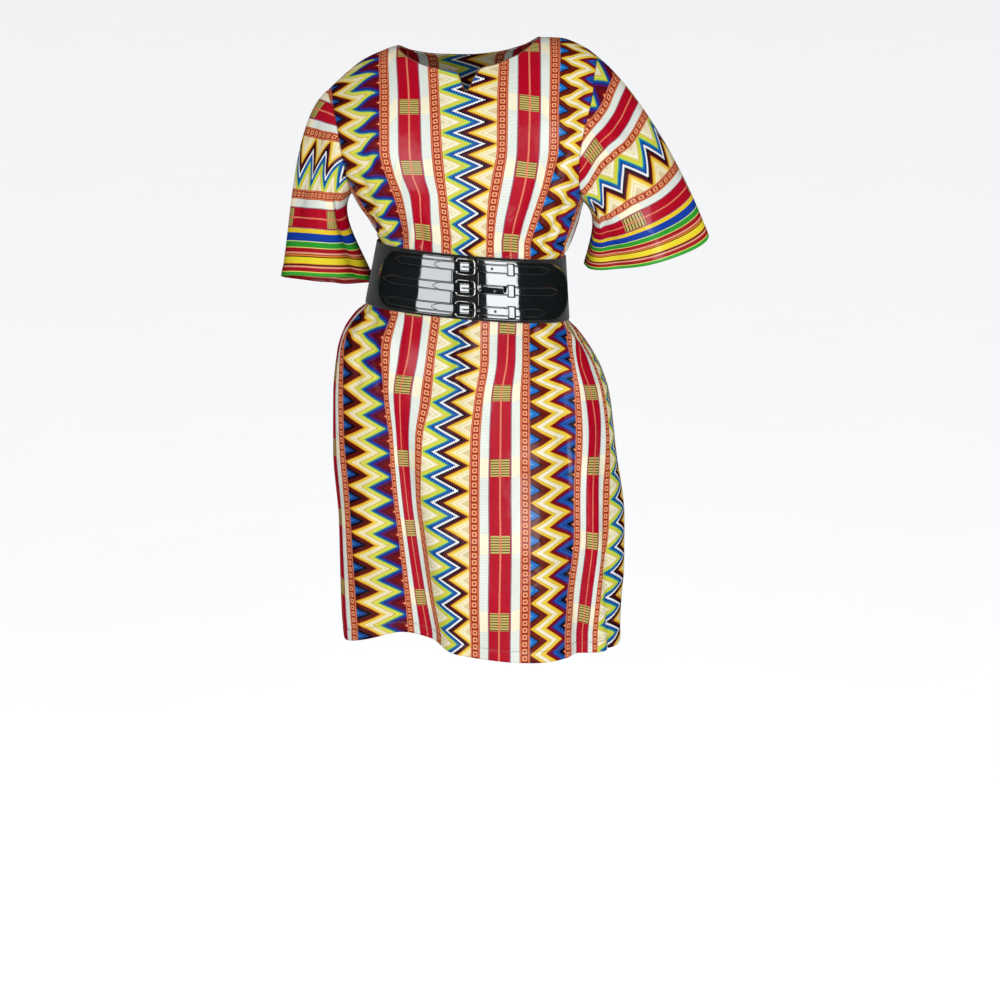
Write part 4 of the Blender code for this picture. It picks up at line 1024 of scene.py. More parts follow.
# %% The strips laid together
def strip_print(tree, own, u, v, border):
    """The print's colour. The ground is zigzags, and each narrower band covers the one below."""
    across = add(tree, MATH, (u, REPEAT), operation="FLOORED_MODULO")
    stepped = add(tree, MATH, (v, TIP_PLACE), operation="ADD")
    stepped = add(tree, MATH, (stepped, THREAD), operation="SNAP")

    # the wide zigzag at both ends of the repeat, the side one half way, blue or olive by turns
    past_half = add(tree, MATH, (across, REPEAT / 2), operation="GREATER_THAN")
    wide_at = add(tree, MATH, (past_half, -REPEAT, across), operation="MULTIPLY_ADD")
    wide = zigzag(tree, wide_at, WIDE_MIDDLE, WIDE_SWING, stepped, ZIGZAG_WIDE)
    blue, olive = (zigzag(tree, across, SIDE_MIDDLE, SIDE_SWING, stepped, stops)
                   for stops in (ZIGZAG_BLUE, ZIGZAG_OLIVE))
    double = add(tree, MATH, (u, 2 * REPEAT), operation="FLOORED_MODULO")
    side = cover(tree, olive, blue, double, REPEAT)

    # distances: from the nearer crimson stripe, and from the chain of squares beside it
    from_side = distance_from(tree, across, SIDE_ZIGZAG)
    both = [distance_from(tree, across, place) for place in RED_PLACES]
    gap = add(tree, MATH, both, operation="MINIMUM")
    in_chain = distance_from(tree, gap, CHAIN_PLACE)
    link = add(tree, MATH, (v, CHAIN_PITCH / 2), operation="PINGPONG")
    ring = add(tree, MATH, (in_chain, link, RING_ROUNDING), operation="SMOOTH_MAX")
    block = add(tree, MATH, (v, BLOCK_REPEAT / 2), operation="PINGPONG")

    details = {}
    for name, (reach, half, mark, ground) in DETAILS.items():
        near = add(tree, MATH, (v, reach), operation="PINGPONG")
        details[name] = cover(tree, dyed(ground), dyed(mark), near, half)
    crimson = dyed(CRIMSON)
    bands = [("side", from_side, side),
             ("chain", gap, steps_of_colour(tree, in_chain, CHAIN_LINES, *CHAIN_RANGE)),
             ("rings", in_chain, steps_of_colour(tree, ring, RINGS, *CHAIN_RANGE)),
             ("cream", gap, cover(tree, details["ticks"], dyed(CREAM), block, PLAIN_HALF)),
             ("dots", gap, details["dots"]),
             ("crimson", gap, crimson),
             ("blocks", gap, cover(tree, crimson, details["bars"], block, BLOCK_HALF)),
             ("beads", gap, details["beads"])]
    if border:
        bands.append(("border", own, steps_of_colour(tree, own, BORDER, *BORDER_RANGE)))
    cloth = wide
    for name, distance, over in bands:
        cloth = cover(tree, cloth, over, distance, HALF_WIDTHS[name])
    return cloth


print("half widths of the bands:", HALF_WIDTHS)

# %% [markdown]
# Under the print is cloth. Its threads darken the colours a little where they cross, it
# crinkles, and the wax on it is thick in patches, which makes it shine unevenly.

# %% Waxed cotton
def printed_cotton(name, way=1.0, start=0.0, border=False):
    """Waxed, calendered cotton with the strip print. u of the print is start plus way times
    the cloth's own, and border gives the sleeves' hem its coloured stripes. The eye gets full
    colours that the threads break up a little, a soft gloss, and wax that shines in patches."""
    made, tree, shader = new_material(name)
    place = add(tree, "ShaderNodeUVMap", uv_map="cloth")
    own, v = (add(tree, SPLIT, (place,), output=axis) for axis in (0, 1))
    u = add(tree, MATH, (own, way, start), operation="MULTIPLY_ADD")
    cloth = strip_print(tree, own, u, v, border)

    # the cloth under the print: threads, and small differences in how the dye took
    at = add(tree, **OBJECT_PLACE)
    dye = add(tree, NOISE, {"Vector": at, "Scale": 14.0, "Detail": 3.0})
    depth = add(tree, MAP, {0: dye, 1: 0.3, 2: 0.7, 3: 0.93, 4: 1.05})
    threads = [add(tree, MATH, (axis, WEAVE), operation="PINGPONG") for axis in (v, u)]
    weave = add(tree, MATH, threads, operation="ADD")
    ticks = add(tree, MAP, {0: weave, 1: 0.0, 2: 2 * WEAVE, 3: 0.94, 4: 1.04})
    shade = add(tree, MATH, (depth, ticks), operation="MULTIPLY")
    seen = add(tree, "ShaderNodeVectorMath", {0: cloth, 3: shade}, operation="SCALE")

    # crinkles of the cloth, and the wax on it, thick in patches
    rough = add(tree, MAP, {0: dye, 1: 0.3, 2: 0.7, 3: 0.20, 4: 0.32})
    crinkle = add(tree, NOISE, {"Vector": at, "Scale": 60.0, "Detail": 4.0})
    soft = add(tree, BUMP, {"Height": dye, "Strength": 0.5, "Distance": 0.006})
    bump = add(tree, BUMP, {"Height": crinkle, "Strength": 0.3, "Distance": 0.0016,
                            "Normal": soft})
    fine = add(tree, BUMP, {"Height": weave, "Strength": 0.35, "Distance": 0.4, "Normal": bump})
    wax = add(tree, NOISE, {"Vector": at, "Scale": 11.0, "Detail": 2.0})
    coat = add(tree, MAP, {0: wax, 1: 0.46, 2: 0.62, 3: 0.0, 4: 0.5})
    fill(tree, shader, {"Base Color": seen, "Roughness": rough, "Normal": fine,
                        "Specular IOR Level": 0.11, "Coat Weight": coat, "Coat Normal": bump,
                        "Coat Roughness": 0.14})
    return made


print("threads", 2000 * WEAVE, "mm apart")

# %% [markdown]
# ## The belt
# A wide stretch belt is a closed elastic band with two patent panels sewn on in front. Three
# straps run along each panel; the right ones pass through three metal buckles and lie with
# their pointed ends on the left panel. All of it follows the waist, so every point is given
# by a place along the belt, a height on it and a lift off the cloth.

# %% Belt sizes
LEFT_PANEL = (-0.132, -0.0215)    # from the rounded end to the edge under the buckles
RIGHT_PANEL = (0.150, 0.0155)
PANEL_END_LEFT = 0.024
PANEL_END_RIGHT = 0.034
PANEL_HALF_HEIGHT = 0.0462
PANEL_CURVE = 2.4         # exponent of a panel's rounded end
STRAP_HEIGHTS = (0.0325, 0.0, -0.0325)
STRAP_HALF_WIDTH = 0.0076
STRAP_POINT = 0.010
STRAP_BLUNT = 0.22        # width of a strap's tip, as a share of the strap's
LEFT_TIPS = (-0.110, -0.124, -0.118)
RIGHT_TIPS = (0.123, 0.134, 0.114)
ARROW_TIP = -0.050
LEAN = (0.0, 0.165, 0.05)     # slope of each right strap's twist between buckle and keeper
LEAN_FADE = 0.007
BEFORE_BUCKLE = -0.020
AFTER_BUCKLE = 0.014
BUCKLE_X = (-0.017, 0.011)
BUCKLE_HALF_HEIGHT = 0.0118
BUCKLE_CORNER = 5
BUCKLE_WIRE = 0.0015
PRONG_WIRE = 0.0011
PRONG_X = (-0.0085, 0.0130)
PRONG_DIP = 0.0012
KEEPER_X = (0.0595, 0.0700)
KEEPER_CLEAR = (KEEPER_X[0] - 0.001, KEEPER_X[1] + 0.001)
KEEPER_MARGIN = 0.0004
KEEPER_OVER = 0.0022      # how far a keeper reaches past its strap's edge
KEEPER_CORNER = 9
KEEPER_PUFF = 0.0005
ELASTIC_WALL = 0.0026
PANEL_WALL = 0.0024
STRAP_WALL = 0.0020
KEEPER_WALL = 0.0018
SEAM_GAP = 0.0003
ELASTIC_LIFT = 0.0005
PANEL_LIFT = ELASTIC_LIFT + ELASTIC_WALL + SEAM_GAP
STRAP_LIFT = PANEL_LIFT + PANEL_WALL + SEAM_GAP
LEFT_BAR_LIFT = STRAP_LIFT + SEAM_GAP + BUCKLE_WIRE
RIGHT_BAR_LIFT = STRAP_LIFT + STRAP_WALL + SEAM_GAP + BUCKLE_WIRE
OVER_BAR_LIFT = LEFT_BAR_LIFT + BUCKLE_WIRE + SEAM_GAP
PRONG_LIFT = RIGHT_BAR_LIFT + BUCKLE_WIRE + SEAM_GAP + PRONG_WIRE
OVER_STRAP_LIFT = STRAP_LIFT + STRAP_WALL + SEAM_GAP
STRAP_ROUTE = table(
    "x lift",
    (-0.0500, OVER_STRAP_LIFT), (-0.0300, OVER_STRAP_LIFT), (-0.0195, OVER_BAR_LIFT),
    (-0.0125, OVER_BAR_LIFT), (0.0040, STRAP_LIFT), (0.1400, STRAP_LIFT))
HOLES = ((0.0365, 0.0135), (0.0405, 0.0185), (0.0405, 0.0165))   # along each right strap
HOLE_RADIUS = 0.0013
HOLE_DEPTH = 0.0014
SEWN_INSIDE = 0.0020      # the stitch line's distance from a strap's or panel's edge
GROOVE_DEPTH = 0.00035
GROOVE_WIDTH = 0.00045
EDGE_ROUND = 0.0009
CROWN = 0.0001            # how much higher a strip is in its middle
PIECES = []               # (piece, node it stands for, material slot, finish)
print("straps lie", round(STRAP_LIFT, 4), "m off the cloth")

# %% Shapes that follow the waist
def belt_point(angle, height, lift, side=-1):
    """A point this far outside the waist, straight from the belt's lower to its upper edge."""
    low = body_point(side, angle, BELT_FOOT + 0 * angle, "none", lift)
    high = body_point(side, angle, BELT_TOP + 0 * angle, "none", lift)
    share = (np.asarray(height) / BELT_HALF_HEIGHT + 1)[..., None] / 2
    return low + (high - low) * share


def on_belt(x, height, lift):
    """The same for a place given by its x on the belt's front."""
    x, height, lift = np.broadcast_arrays(x, height, lift)
    return belt_point(section_angle(x, BELT_LEVEL + 0 * x), height, lift)


print("middle of the belt:", on_belt(np.zeros(1), 0.0, 0.0).round(4))

# %% [markdown]
# A strap is a bar: one ring of points for each place along it, joined by quads. The ring is
# flat below and rounded above, and the stitches press a groove into it, so that the light
# breaks along its edge as it does on sewn patent leather.

# %% Bars and their faces
def ring_faces(rows, count, closed=False):
    """Quads between rings of vertices. An open end is closed with a strip of quads from the
    ring's first half to its second, which runs back."""
    index = np.arange(rows * count).reshape(rows, count)
    ring = np.concatenate([index, index[:, :1]], axis=1)
    if closed:
        ring = np.concatenate([ring, ring[:1]])
    sides = np.stack([ring[:-1, :-1], ring[1:, :-1], ring[1:, 1:], ring[:-1, 1:]], -1)
    sides = sides.reshape(-1, 4)
    if closed:
        return sides
    i = np.arange(count // 2 - 1)
    cap = np.stack([i, i + 1, count - 2 - i, count - 1 - i], -1)
    return np.concatenate([sides, cap, (cap + index[-1, 0])[:, ::-1]])


def bar(name, x, section):
    """A closed bar along the belt. section has, for each x, an even ring of (height, lift)."""
    points = on_belt(x[:, None], section[..., 0], section[..., 1])
    return to_mesh(name, points.reshape(-1, 3), ring_faces(*section.shape[:2]))


print("quads of a bar with 3 rings of 4:", len(ring_faces(3, 4)))

# %% Sections and outlines of the strips
def across_strip(half, step):
    """Places across a strip, from -1 to 1: crowded at the round edge and at the stitches."""
    near = np.array([0, 0.1, 0.25, 0.5, 0.9, 1.3, 1.55, 1.75, 2.0, 2.25, 2.45, 2.8]) / 1000
    wide = np.linspace(near[-1], half, max(int((half - near[-1]) / step), 2) + 1)[1:]
    inward = np.concatenate([near, wide]) / half - 1
    return np.concatenate([inward, -inward[-2::-1]])


def sewn_section(x, centre, half, full, lift, wall, step, holes=()):
    """A strip's ring: flat below; above, a quarter circle at each edge, a crown of a tenth of
    a millimetre, and a groove pressed in by the stitches. Holes are round dents."""
    t = across_strip(full, step)
    height = half[:, None] * t + centre
    inside = full * (1 - np.abs(t))
    edge = np.sqrt(1 - np.clip(1 - inside / EDGE_ROUND, 0, 1) ** 2)
    groove = GROOVE_DEPTH * np.exp(-((inside - SEWN_INSIDE) / GROOVE_WIDTH) ** 2)
    raised = wall * edge + CROWN * (1 - t ** 2) - groove + 0 * height
    for at in holes:
        away = np.hypot(x[:, None] - at, height - centre) / HOLE_RADIUS
        raised = raised - HOLE_DEPTH * np.exp(-away ** 4)
    lift = np.broadcast_to(lift, x.shape)[:, None] + 0 * height
    below = np.stack([height, lift], -1)
    above = np.stack([height, lift + raised], -1)
    return np.concatenate([below, above[:, ::-1]], axis=1)


def pointed(x, tip):
    """Half width of a strap that narrows in a straight line to a blunt point at its tip."""
    share = np.clip(np.abs(x - tip) / STRAP_POINT, 0.0, 1.0)
    return STRAP_HALF_WIDTH * (STRAP_BLUNT + (1 - STRAP_BLUNT) * share)


def rounded_end(x, tip, length):
    """Half height of a panel whose end is a superellipse."""
    share = np.clip(1 - np.abs(x - tip) / length, 0.0, 1.0)
    return PANEL_HALF_HEIGHT * np.maximum(1 - share ** PANEL_CURVE, 0.05) ** (1 / PANEL_CURVE)


def stations(*places, step=0.0015, holes=()):
    """Places along a strip, never further apart than step, and crowded round the holes."""
    parts = [np.linspace(a, b, int(math.ceil(abs(b - a) / step)) + 1)
             for a, b in zip(places[:-1], places[1:])]
    parts += [at + np.linspace(-1.6, 1.6, 13) * HOLE_RADIUS for at in holes]
    return np.unique(np.round(np.concatenate(parts), 6))


def keep(piece, node, slot, finish):
    """Notes which node a piece stands for, its slot and its finish."""
    PIECES.append((piece, node, slot, finish))


def keep_patent(node, x, section):
    """Makes a bar of patent leather and keeps it for this node."""
    keep(bar("patent_" + node.removeprefix("belt_"), x, section), node, "patent", "patent")


print("places along 10 cm of strap:", len(stations(0.0, 0.1)))

# %% Elastic band
BAND_EDGE = np.array([(49.0, 0.80), (48.7, 0.35), (48.2, 0.08), (47.0, 0.0), (38.0, 0.0),
                      (26.0, 0.0), (13.0, 0.0), (0.0, 0.0)]) / 1000
BAND_LINING = 0.0009      # left off the wall, so that the band stands clear of the cloth
row = YOKE_ROWS + CHEST_ROWS + WAIST_ROWS + BELT_ROWS // 2
angle = np.concatenate([front_angles[row], back_angles[row][-2:0:-1]])
in_front = np.arange(len(angle)) < front_angles.shape[1]
height, drop = np.concatenate([BAND_EDGE, BAND_EDGE[-2::-1] * (-1, 1)]).T[..., None]
lift = ELASTIC_LIFT + ELASTIC_WALL - drop
on_front, on_back = (belt_point(angle + 0 * height, height, lift, side) for side in (-1, 1))
outer = np.where(in_front[:, None], on_front, on_back)
along = path_lengths(outer[0], closed=True)
band_places = np.stack(np.broadcast_arrays(along, height), -1)
band = cloth_wall("belt_band", outer, grid_normals(outer, True), band_places, True,
                  thickness=ELASTIC_WALL - BAND_LINING)
keep(band, "belt_elastic", "elastic", "elastic")
print("elastic band, girth", along[-1].round(3))

# %% Patent panels
SEWN = []                 # stitch lines on the belt: (x, height, lift) along each


def sewn_line(x, half, centre, full, lift):
    """The stitch line of a strip: up one edge to its shaped end, round it and back."""
    inset = half * (1 - SEWN_INSIDE / full)
    there, back = (np.stack([x, centre + way * inset, lift + 0 * x], -1) for way in (1, -1))
    SEWN.append(np.concatenate([there, back[::-1]]))


for name, (tip, inner), rounding in (("left", LEFT_PANEL, PANEL_END_LEFT),
                                     ("right", RIGHT_PANEL, PANEL_END_RIGHT)):
    way = 1 if inner > tip else -1
    bend = tip + way * rounding * (1 - np.cos(np.linspace(0, math.pi / 2, 22)))
    x = np.unique(np.round(np.concatenate([bend, stations(bend[-1], inner)]), 6))
    half = rounded_end(x, tip, rounding)
    section = sewn_section(x, 0.0, half, PANEL_HALF_HEIGHT, PANEL_LIFT, PANEL_WALL, 0.003)
    keep_patent("belt_panel_" + name, x, section)
    line = x[(x > x[0] + SEWN_INSIDE) & (x < x[-1] - SEWN_INSIDE)][::-way]
    sewn_line(line, rounded_end(line, tip, rounding), 0.0, PANEL_HALF_HEIGHT,
              PANEL_LIFT + PANEL_WALL)
print("panels:", len(PIECES) - 1)

# %% Straps and keepers
def strap_lift(x):
    """Lift of a right strap, which climbs over the buckle's left bar and the left strap."""
    return smooth(x, STRAP_ROUTE["x"], STRAP_ROUTE["lift"])


def strap_section(x, height, half, lift, holes=()):
    """The ring of a strap."""
    return sewn_section(x, height, half, STRAP_HALF_WIDTH, lift, STRAP_WALL, 0.0006, holes)


def strap_line(x, tip, height, lift):
    """The stitch line of a strap, round its pointed end."""
    sewn_line(x, pointed(x, tip), height, STRAP_HALF_WIDTH, lift + STRAP_WALL)


keeper_x = np.linspace(*KEEPER_X, 13)
puff = 1 - (2 * (keeper_x - KEEPER_X[0]) / (KEEPER_X[1] - KEEPER_X[0]) - 1) ** 4
turn = np.linspace(0, math.pi, 26)
rise = STRAP_WALL + KEEPER_MARGIN
arch = np.stack([np.cos(turn), np.sin(turn)], -1) * superellipse(turn, KEEPER_CORNER)[:, None]
arch = np.concatenate([arch * (STRAP_HALF_WIDTH + KEEPER_MARGIN, rise),
                       arch[::-1] * (STRAP_HALF_WIDTH + KEEPER_OVER, rise + KEEPER_WALL)])
keeper = np.tile(arch + (0.0, STRAP_LIFT), (len(keeper_x), 1, 1))
top = np.concatenate([0 * turn, np.sin(turn) ** 0.5])
keeper[..., 1] += KEEPER_PUFF * (puff[:, None] - 1) * top

for i, height in enumerate(STRAP_HEIGHTS):
    left_tip, right_tip, number = LEFT_TIPS[i], RIGHT_TIPS[i], str(i + 1)
    x = stations(left_tip, left_tip + STRAP_POINT, LEFT_PANEL[1])
    keep_patent("strap_left_" + number, x,
                strap_section(x, height, pointed(x, left_tip), STRAP_LIFT))
    line = x[(x > x[0] + SEWN_INSIDE) & (x < ARROW_TIP)][::-1]
    strap_line(line, left_tip, height, STRAP_LIFT)

    x = stations(ARROW_TIP, ARROW_TIP + STRAP_POINT, right_tip - STRAP_POINT, right_tip,
                 step=0.0012, holes=HOLES[i])
    half = np.minimum(pointed(x, right_tip), pointed(x, ARROW_TIP))
    section = strap_section(x, height, half, strap_lift(x), HOLES[i])
    twist = (LEAN[i] * ease((x - AFTER_BUCKLE) / LEAN_FADE)
             * ease((KEEPER_CLEAR[0] - x) / LEAN_FADE))
    section[..., 1] += twist[:, None] * (section[..., 0] - height + STRAP_HALF_WIDTH)
    keep_patent("strap_right_" + number, x, section)
    for tip, start, end in ((ARROW_TIP, ARROW_TIP + SEWN_INSIDE, BEFORE_BUCKLE),
                            (right_tip, AFTER_BUCKLE, KEEPER_CLEAR[0]),
                            (right_tip, KEEPER_CLEAR[1], right_tip - SEWN_INSIDE)):
        line = x[(x > start) & (x < end)][::-1 if tip < 0 else 1]
        strap_line(line, tip, height, strap_lift(line))
    keep_patent("keeper_" + number, keeper_x, keeper + (height, 0.0))
print("belt pieces:", len(PIECES), "sewn lines:", len(SEWN))

# %% [markdown]
# A buckle is one bent and welded wire: a square frame with round corners. The left bar lies
# under the strap, the right bar over it, and the prong rests on the right bar. All are tubes
# swept along a path.

# %% Tubes
def tube(name, path, out, radius, closed, sides=14):
    """A round tube: at each path point a ring across the path, from two vectors at right
    angles to it. The ends, where it has them, narrow to a small flat."""
    if closed:
        way = np.roll(path, -1, axis=0) - np.roll(path, 1, axis=0)
    else:
        way = np.gradient(path, axis=0)
    across = unit(np.cross(way, out))
    upward = unit(np.cross(across, way))
    radius = radius + np.zeros(len(path))
    turn = (np.arange(sides) / sides * math.tau)[:, None]
    ring = across[:, None] * np.cos(turn) + upward[:, None] * np.sin(turn)
    points = path[:, None] + ring * radius[:, None, None]
    return to_mesh(name, points.reshape(-1, 3), ring_faces(len(path), sides, closed))


print("faces of a tube of 5 rings:", len(ring_faces(5, 14)))

# %% Buckles and prongs
OUTWARD = np.array([0.0, -1.0, 0.0])
left, right = BUCKLE_X
middle, reach = (left + right) / 2, (right - left) / 2
turn = np.linspace(0, math.tau, 97)[:-1]
squared = superellipse(turn, BUCKLE_CORNER)
frame_x = middle + reach * np.cos(turn) * squared
frame_up = BUCKLE_HALF_HEIGHT * np.sin(turn) * squared
frame_lift = LEFT_BAR_LIFT + (RIGHT_BAR_LIFT - LEFT_BAR_LIFT) * ease((frame_x - left) / (2 * reach))
prong_x = np.linspace(*PRONG_X, 40)
share = (prong_x - PRONG_X[0]) / (PRONG_X[1] - PRONG_X[0])
prong_radius = PRONG_WIRE * np.sqrt(np.clip(np.minimum(share, 1 - share) / 0.06, 0.12, 1.0))
prong_lift = PRONG_LIFT - PRONG_DIP * np.cos(share * math.pi / 2) ** 2
for i, height in enumerate(STRAP_HEIGHTS):
    for kind, path, radius, closed in (
            ("buckle", on_belt(frame_x, height + frame_up, frame_lift), BUCKLE_WIRE, True),
            ("prong", on_belt(prong_x, height, prong_lift), prong_radius, False)):
        made = tube(f"nickel_{kind}_{i + 1}", path, OUTWARD + 0 * path, radius, closed)
        keep(made, f"{kind}_{i + 1}", "steel", "nickel")
print("metal pieces:", sum(row[2] == "steel" for row in PIECES))

# %% [markdown]
# ## Sewing
# A stitch is a short length of thread that dips into the cloth at both ends, so a row of them
# is a row of small barrels with gaps. Real stitches are 2.6 mm long. Each has few faces,
# because there are thousands.

# %% Stitches
STITCH_PITCH = 0.0034
STITCH_LENGTH = 0.0026
STITCH_LIFT = 0.0002
HEM_THREAD = 0.00026      # radius of the thread, in the cloth and in the belt
BELT_THREAD = 0.00030
BARREL = np.array([(-0.50, 0.45, -0.5), (-0.30, 1.00, 0.1), (0.30, 1.00, 0.1), (0.50, 0.45, -0.5)])
BARREL_SIDES = 6
NECK_LINE = 2
BINDING_RADIUS = 0.0008


def stitches(rows, radius):
    """Vertices and faces for rows of (path, outward vectors): each barrel is four rings of
    six, laid along the path's own direction and sunk a little at its ends."""
    vertices, faces, first = [], [], 0
    turn = (np.arange(BARREL_SIDES) / BARREL_SIDES * math.tau)[:, None]
    pattern = ring_faces(len(BARREL), BARREL_SIDES)
    for path, out in rows:
        along = path_lengths(path)
        at = np.arange(STITCH_PITCH / 2, along[-1] - STITCH_PITCH / 2, STITCH_PITCH)
        both = np.concatenate([path, out], -1)
        near, far = (np.stack([np.interp(at + half, along, both[:, k]) for k in range(6)], -1)
                     for half in (-STITCH_LENGTH / 2, STITCH_LENGTH / 2))
        way = unit(far[:, :3] - near[:, :3])[:, None, None]
        middle = ((near + far) / 2)[:, None, None, :3]
        upward = unit((near + far)[:, 3:])[:, None, None]
        across = np.cross(way, upward)
        place, size, sink = (BARREL[:, k][None, :, None, None] for k in range(3))
        circle = (across * np.cos(turn) + upward * np.sin(turn)) * size * radius
        points = middle + way * place * STITCH_LENGTH + circle + upward * sink * radius
        vertices.append(points.reshape(-1, 3))
        offset = first + np.arange(len(at)) * len(BARREL) * BARREL_SIDES
        faces.append((pattern[None] + offset[:, None, None]).reshape(-1, 4))
        first += len(at) * len(BARREL) * BARREL_SIDES
    return np.concatenate(vertices), np.concatenate(faces)


def line_on(point, normal, row):
    """One row of a grid as a stitch line, just off the cloth."""
    return point[row] + normal[row] * STITCH_LIFT, normal[row]


print("stitches", STITCH_LENGTH, "m long, one every", STITCH_PITCH, "m")

# %% Hems, neckline and belt sewn
hem_line = int(np.argmin(np.abs(HEM_ROWS - HEM_ALLOWANCE))) - len(HEM_ROWS)
cloth_rows = [line_on(front, front_normals, hem_line), line_on(back, back_normals, hem_line)]
for sleeve in sleeves.values():
    point, normal = line_on(sleeve["grid"], sleeve["normals"], hem_line)
    cloth_rows.append((np.concatenate([point, point[:1]]), np.concatenate([normal, normal[:1]])))
neck = slice(SHOULDER_COLUMNS, -SHOULDER_COLUMNS)
cloth_rows += [line_on(front[:, neck], front_normals[:, neck], NECK_LINE),
               line_on(back[:, neck], back_normals[:, neck], NECK_LINE)]
belt_rows = []
for x, height, lift in (line.T for line in SEWN):
    path = on_belt(x, height, lift)
    belt_rows.append((path, unit(on_belt(x, height, lift + 0.001) - path)))
hem_stitches = to_mesh("stitches_hems", *stitches(cloth_rows, HEM_THREAD))
belt_stitches = to_mesh("stitches_belt", *stitches(belt_rows, BELT_THREAD))
keep(hem_stitches, None, "cotton", "thread")
keep(belt_stitches, None, "patent", "black_thread")

ring, ring_normals = (np.concatenate([ahead[0, neck], behind[0, neck][-2:0:-1]])
                      for ahead, behind in ((front, back), (front_normals, back_normals)))
binding = tube("neck_binding", ring, unit(ring_normals), BINDING_RADIUS, True, sides=8)
keep(binding, None, "cotton", "binding")
print("stitch faces:", len(hem_stitches.data.polygons), len(belt_stitches.data.polygons))

# %% [markdown]
# ## The belt's finishes
# Patent leather is leather under a thick clear lacquer, so it mirrors the windows in broad
# patches, a little warped by the leather beneath. Woven elastic is matt, with fine ribs
# across it. The buckles are steel with a nickel plate that is worn a little dull.

# %% Belt materials
def patent_leather():
    """Lacquered leather: near black, with a mirror coat that soft dents bend. The eye gets
    whole windows in it, white and sharp at their edges."""
    made, tree, shader = new_material("black_patent_leather")
    at = add(tree, **OBJECT_PLACE)
    dents = add(tree, NOISE, {"Vector": at, "Scale": 55.0, "Detail": 2.0})
    tone = add(tree, MIX, {0: dents, 6: colour("#0b0d0e"), 7: colour("#16191a")}, **BLEND)
    fine = add(tree, NOISE, {"Vector": at, "Scale": 900.0, "Detail": 2.0})
    rough = add(tree, MAP, {0: fine, 3: 0.05, 4: 0.11})
    bump = add(tree, BUMP, {"Height": dents, "Strength": 0.25, "Distance": 0.0012})
    fill(tree, shader, {"Base Color": tone, "Roughness": rough, "Normal": bump, "IOR": 1.9,
                        "Coat Weight": 1.0, "Coat Roughness": 0.03, "Coat IOR": 2.0})
    return made


def woven_elastic():
    """Rubber threads covered in polyester: charcoal with ribs 1.6 mm apart across it and lines
    2.2 mm apart along it. The eye gets a matt, slightly hairy ground beside the leather."""
    made, tree, shader = new_material("charcoal_woven_elastic")
    place = add(tree, "ShaderNodeUVMap", uv_map="cloth")
    u, v = (add(tree, SPLIT, (place,), output=axis) for axis in (0, 1))
    rib = add(tree, MATH, (u, 0.0008), operation="PINGPONG")
    cord = add(tree, MATH, (v, 0.0011), operation="PINGPONG")
    weave = add(tree, MATH, (rib, cord, 0.0004), operation="SMOOTH_MIN")
    fuzz = add(tree, NOISE, {"Vector": add(tree, **OBJECT_PLACE), "Scale": 240.0, "Detail": 3.0})
    share = add(tree, MAP, {0: weave, 1: 0.0, 2: 0.0008, 3: 0.35, 4: 0.8})
    mixed = add(tree, MATH, (fuzz, 0.25, share), operation="MULTIPLY_ADD")
    tone = add(tree, MIX, {0: mixed, 6: colour("#070809"), 7: colour("#16181a")}, **BLEND)
    bump = add(tree, BUMP, {"Height": weave, "Strength": 0.6, "Distance": 0.5})
    fill(tree, shader, {"Base Color": tone, "Specular IOR Level": 0.12, "Normal": bump,
                        "Roughness": 0.8, "Sheen Weight": 0.15})
    return made


def nickel_plate():
    """Nickel-plated steel wire: a warm grey mirror, duller in patches where it rubs. The eye
    gets bright lines along each wire."""
    made, tree, shader = new_material("nickel_plated_steel")
    wear = add(tree, NOISE, {"Vector": add(tree, **OBJECT_PLACE), "Scale": 260.0, "Detail": 4.0})
    tone = add(tree, MIX, {0: wear, 6: colour("#a9a69e"), 7: colour("#d6d3cc")}, **BLEND)
    rough = add(tree, MAP, {0: wear, 1: 0.3, 2: 0.7, 3: 0.10, 4: 0.24})
    fill(tree, shader, {"Base Color": tone, "Roughness": rough, "Metallic": 1.0})
    return made


def sewing_thread(name, light, dark, roughness):
    """Twisted polyester thread, or bias tape: two tones that alternate along the twist. The
    eye gets a fine broken line."""
    made, tree, shader = new_material(name)
    twist = add(tree, "ShaderNodeTexWave", {"Vector": add(tree, **OBJECT_PLACE),
                                            "Scale": 700.0, "Distortion": 2.0}, output=1)
    tone = add(tree, MIX, {0: twist, 6: colour(dark), 7: colour(light)}, **BLEND)
    fill(tree, shader, {"Base Color": tone, "Roughness": roughness})
    return made


FINISHES = {
    "patent": patent_leather(),
    "elastic": woven_elastic(),
    "nickel": nickel_plate(),
    "thread": sewing_thread("cotton_sewing_thread", "#8e5a34", "#5a3218", 0.7),
    "black_thread": sewing_thread("black_nylon_thread", "#3a3d40", "#101214", 0.35),
    "binding": sewing_thread("brown_bias_binding", "#6a3c24", "#40200f", 0.75),
}
for piece, node, slot, finish in PIECES:
    piece.data.materials.append(FINISHES[finish])
print("finishes:", sorted(FINISHES))

# %% [markdown]
# The same printed cotton goes on all four pieces. The body's two panels share one material.
# Each sleeve has its own, because its strips start elsewhere and run the other way round.

# %% Printed cotton put on
LEFT_START = 0.1725       # the print's u at the left sleeve's hem
RIGHT_START = 0.1975
body_cotton = printed_cotton("waxed_printed_cotton")
CLOTHS = {
    "dress_front": body_cotton,
    "dress_back": body_cotton,
    "dress_sleeve_left": printed_cotton("waxed_printed_cotton_left", 1.0, LEFT_START, True),
    "dress_sleeve_right": printed_cotton("waxed_printed_cotton_right", -1.0, RIGHT_START, True),
}
for name, piece in panels.items():
    piece.data.materials.append(CLOTHS[name])
print("cottons:", len(set(CLOTHS.values())))

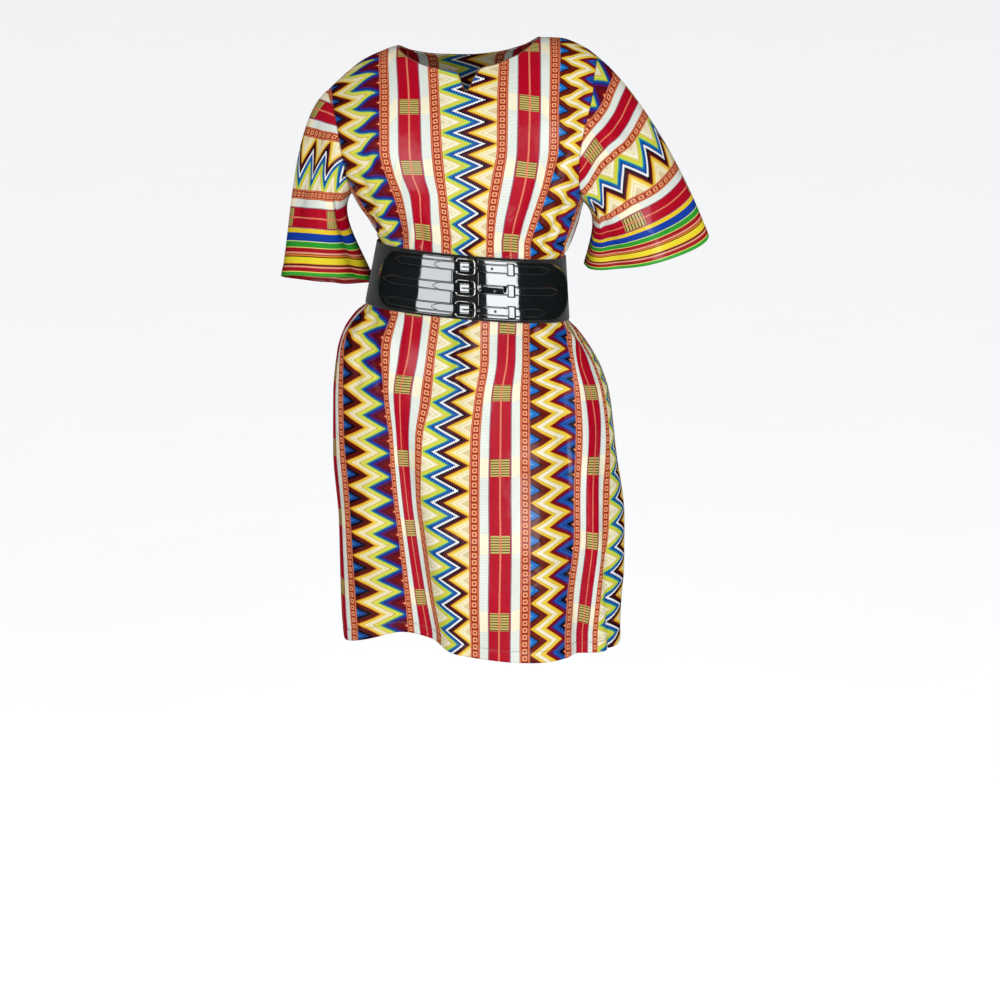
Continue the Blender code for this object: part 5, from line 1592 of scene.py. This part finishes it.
# %% [markdown]
# ## Floor and light
# The floor is plain and pale, and so large that it fills the view. Two tall windows, one on
# each side, give the patent leather its white patches, and an even sky fills in the rest.

# %% Floor
FLOOR_LEVEL = -1.50
FLOOR_HALF = 150.0


def floor_material():
    """Pale painted floor, matt, with a tone that hardly changes: nothing for the eye to rest on."""
    made, tree, shader = new_material("pale_matte_floor")
    grain = add(tree, NOISE, {"Vector": add(tree, **OBJECT_PLACE), "Scale": 3.0})
    tone = add(tree, MAP, {0: grain, 3: 0.93, 4: 0.95})
    fill(tree, shader, {"Base Color": tone, "Roughness": 0.9})
    return made


corner = np.array([(-1, -1, 0), (1, -1, 0), (1, 1, 0), (-1, 1, 0)]) * FLOOR_HALF
mesh = bpy.data.meshes.new("floor")
mesh.from_pydata((corner + (0, 0, FLOOR_LEVEL)).tolist(), [], [(0, 1, 2, 3)])
mesh.materials.append(floor_material())
floor = bpy.data.objects.new("floor", mesh)
bpy.context.scene.collection.objects.link(floor)
floor.visible_glossy = False
print("floor at", FLOOR_LEVEL)

# %% Light
WINDOW_SIZE = (1.7, 2.6)
WINDOW_TINT = (0.94, 0.97, 1.0)
SKY_TINT = (0.98, 0.985, 1.0, 1.0)
SKY_STRENGTH = 1.06
for name, place, radiance in (("window_left", (-1.40, -2.88, -0.15), 3.4),
                              ("window_right", (1.45, -2.88, -0.15), 4.8)):
    width, height = WINDOW_SIZE
    lamp = bpy.data.lights.new(name, "AREA")
    lamp.shape = "RECTANGLE"
    lamp.size, lamp.size_y = width, height
    lamp.color = WINDOW_TINT
    lamp.energy = radiance * math.pi * width * height
    window = bpy.data.objects.new(name, lamp)
    bpy.context.scene.collection.objects.link(window)
    window.location = place
    window.rotation_euler = (math.pi / 2, 0.0, math.atan2(place[0], -place[1]))
    window.visible_camera = False
world = bpy.data.worlds.new("soft_room")
bpy.context.scene.world = world
world.use_nodes = True
sky = world.node_tree.nodes["Background"]
sky.inputs["Color"].default_value = SKY_TINT
sky.inputs["Strength"].default_value = SKY_STRENGTH
world.cycles_visibility.glossy = False
bpy.context.scene.view_settings.view_transform = "Standard"

# %% [markdown]
# ## The pieces on the body
# Every piece rides the one body and has a material slot. The four pieces of cloth are sheets;
# their sizes flat on the cutting table are listed but not used. They and the rest of the pieces
# stand in for the imported model's nodes or, like the stitches, for none.

NODE_OF = {"dress_front": "body_front", "dress_back": "body_back",
           "dress_sleeve_left": "sleeve_left", "dress_sleeve_right": "sleeve_right"}
FLAT = {"dress_front": (0.66, 1.00, 0.56), "dress_back": (0.66, 1.00, 0.56),
        "dress_sleeve_left": (0.52, 0.335, 0.100), "dress_sleeve_right": (0.56, 0.385, 0.115)}
for name, piece in panels.items():
    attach(piece, "root")
    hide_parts(NODE_OF[name])
    width, length, area = FLAT[name]
for piece, node, slot, finish in PIECES:
    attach(piece, "root")
    if node:
        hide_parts(node)
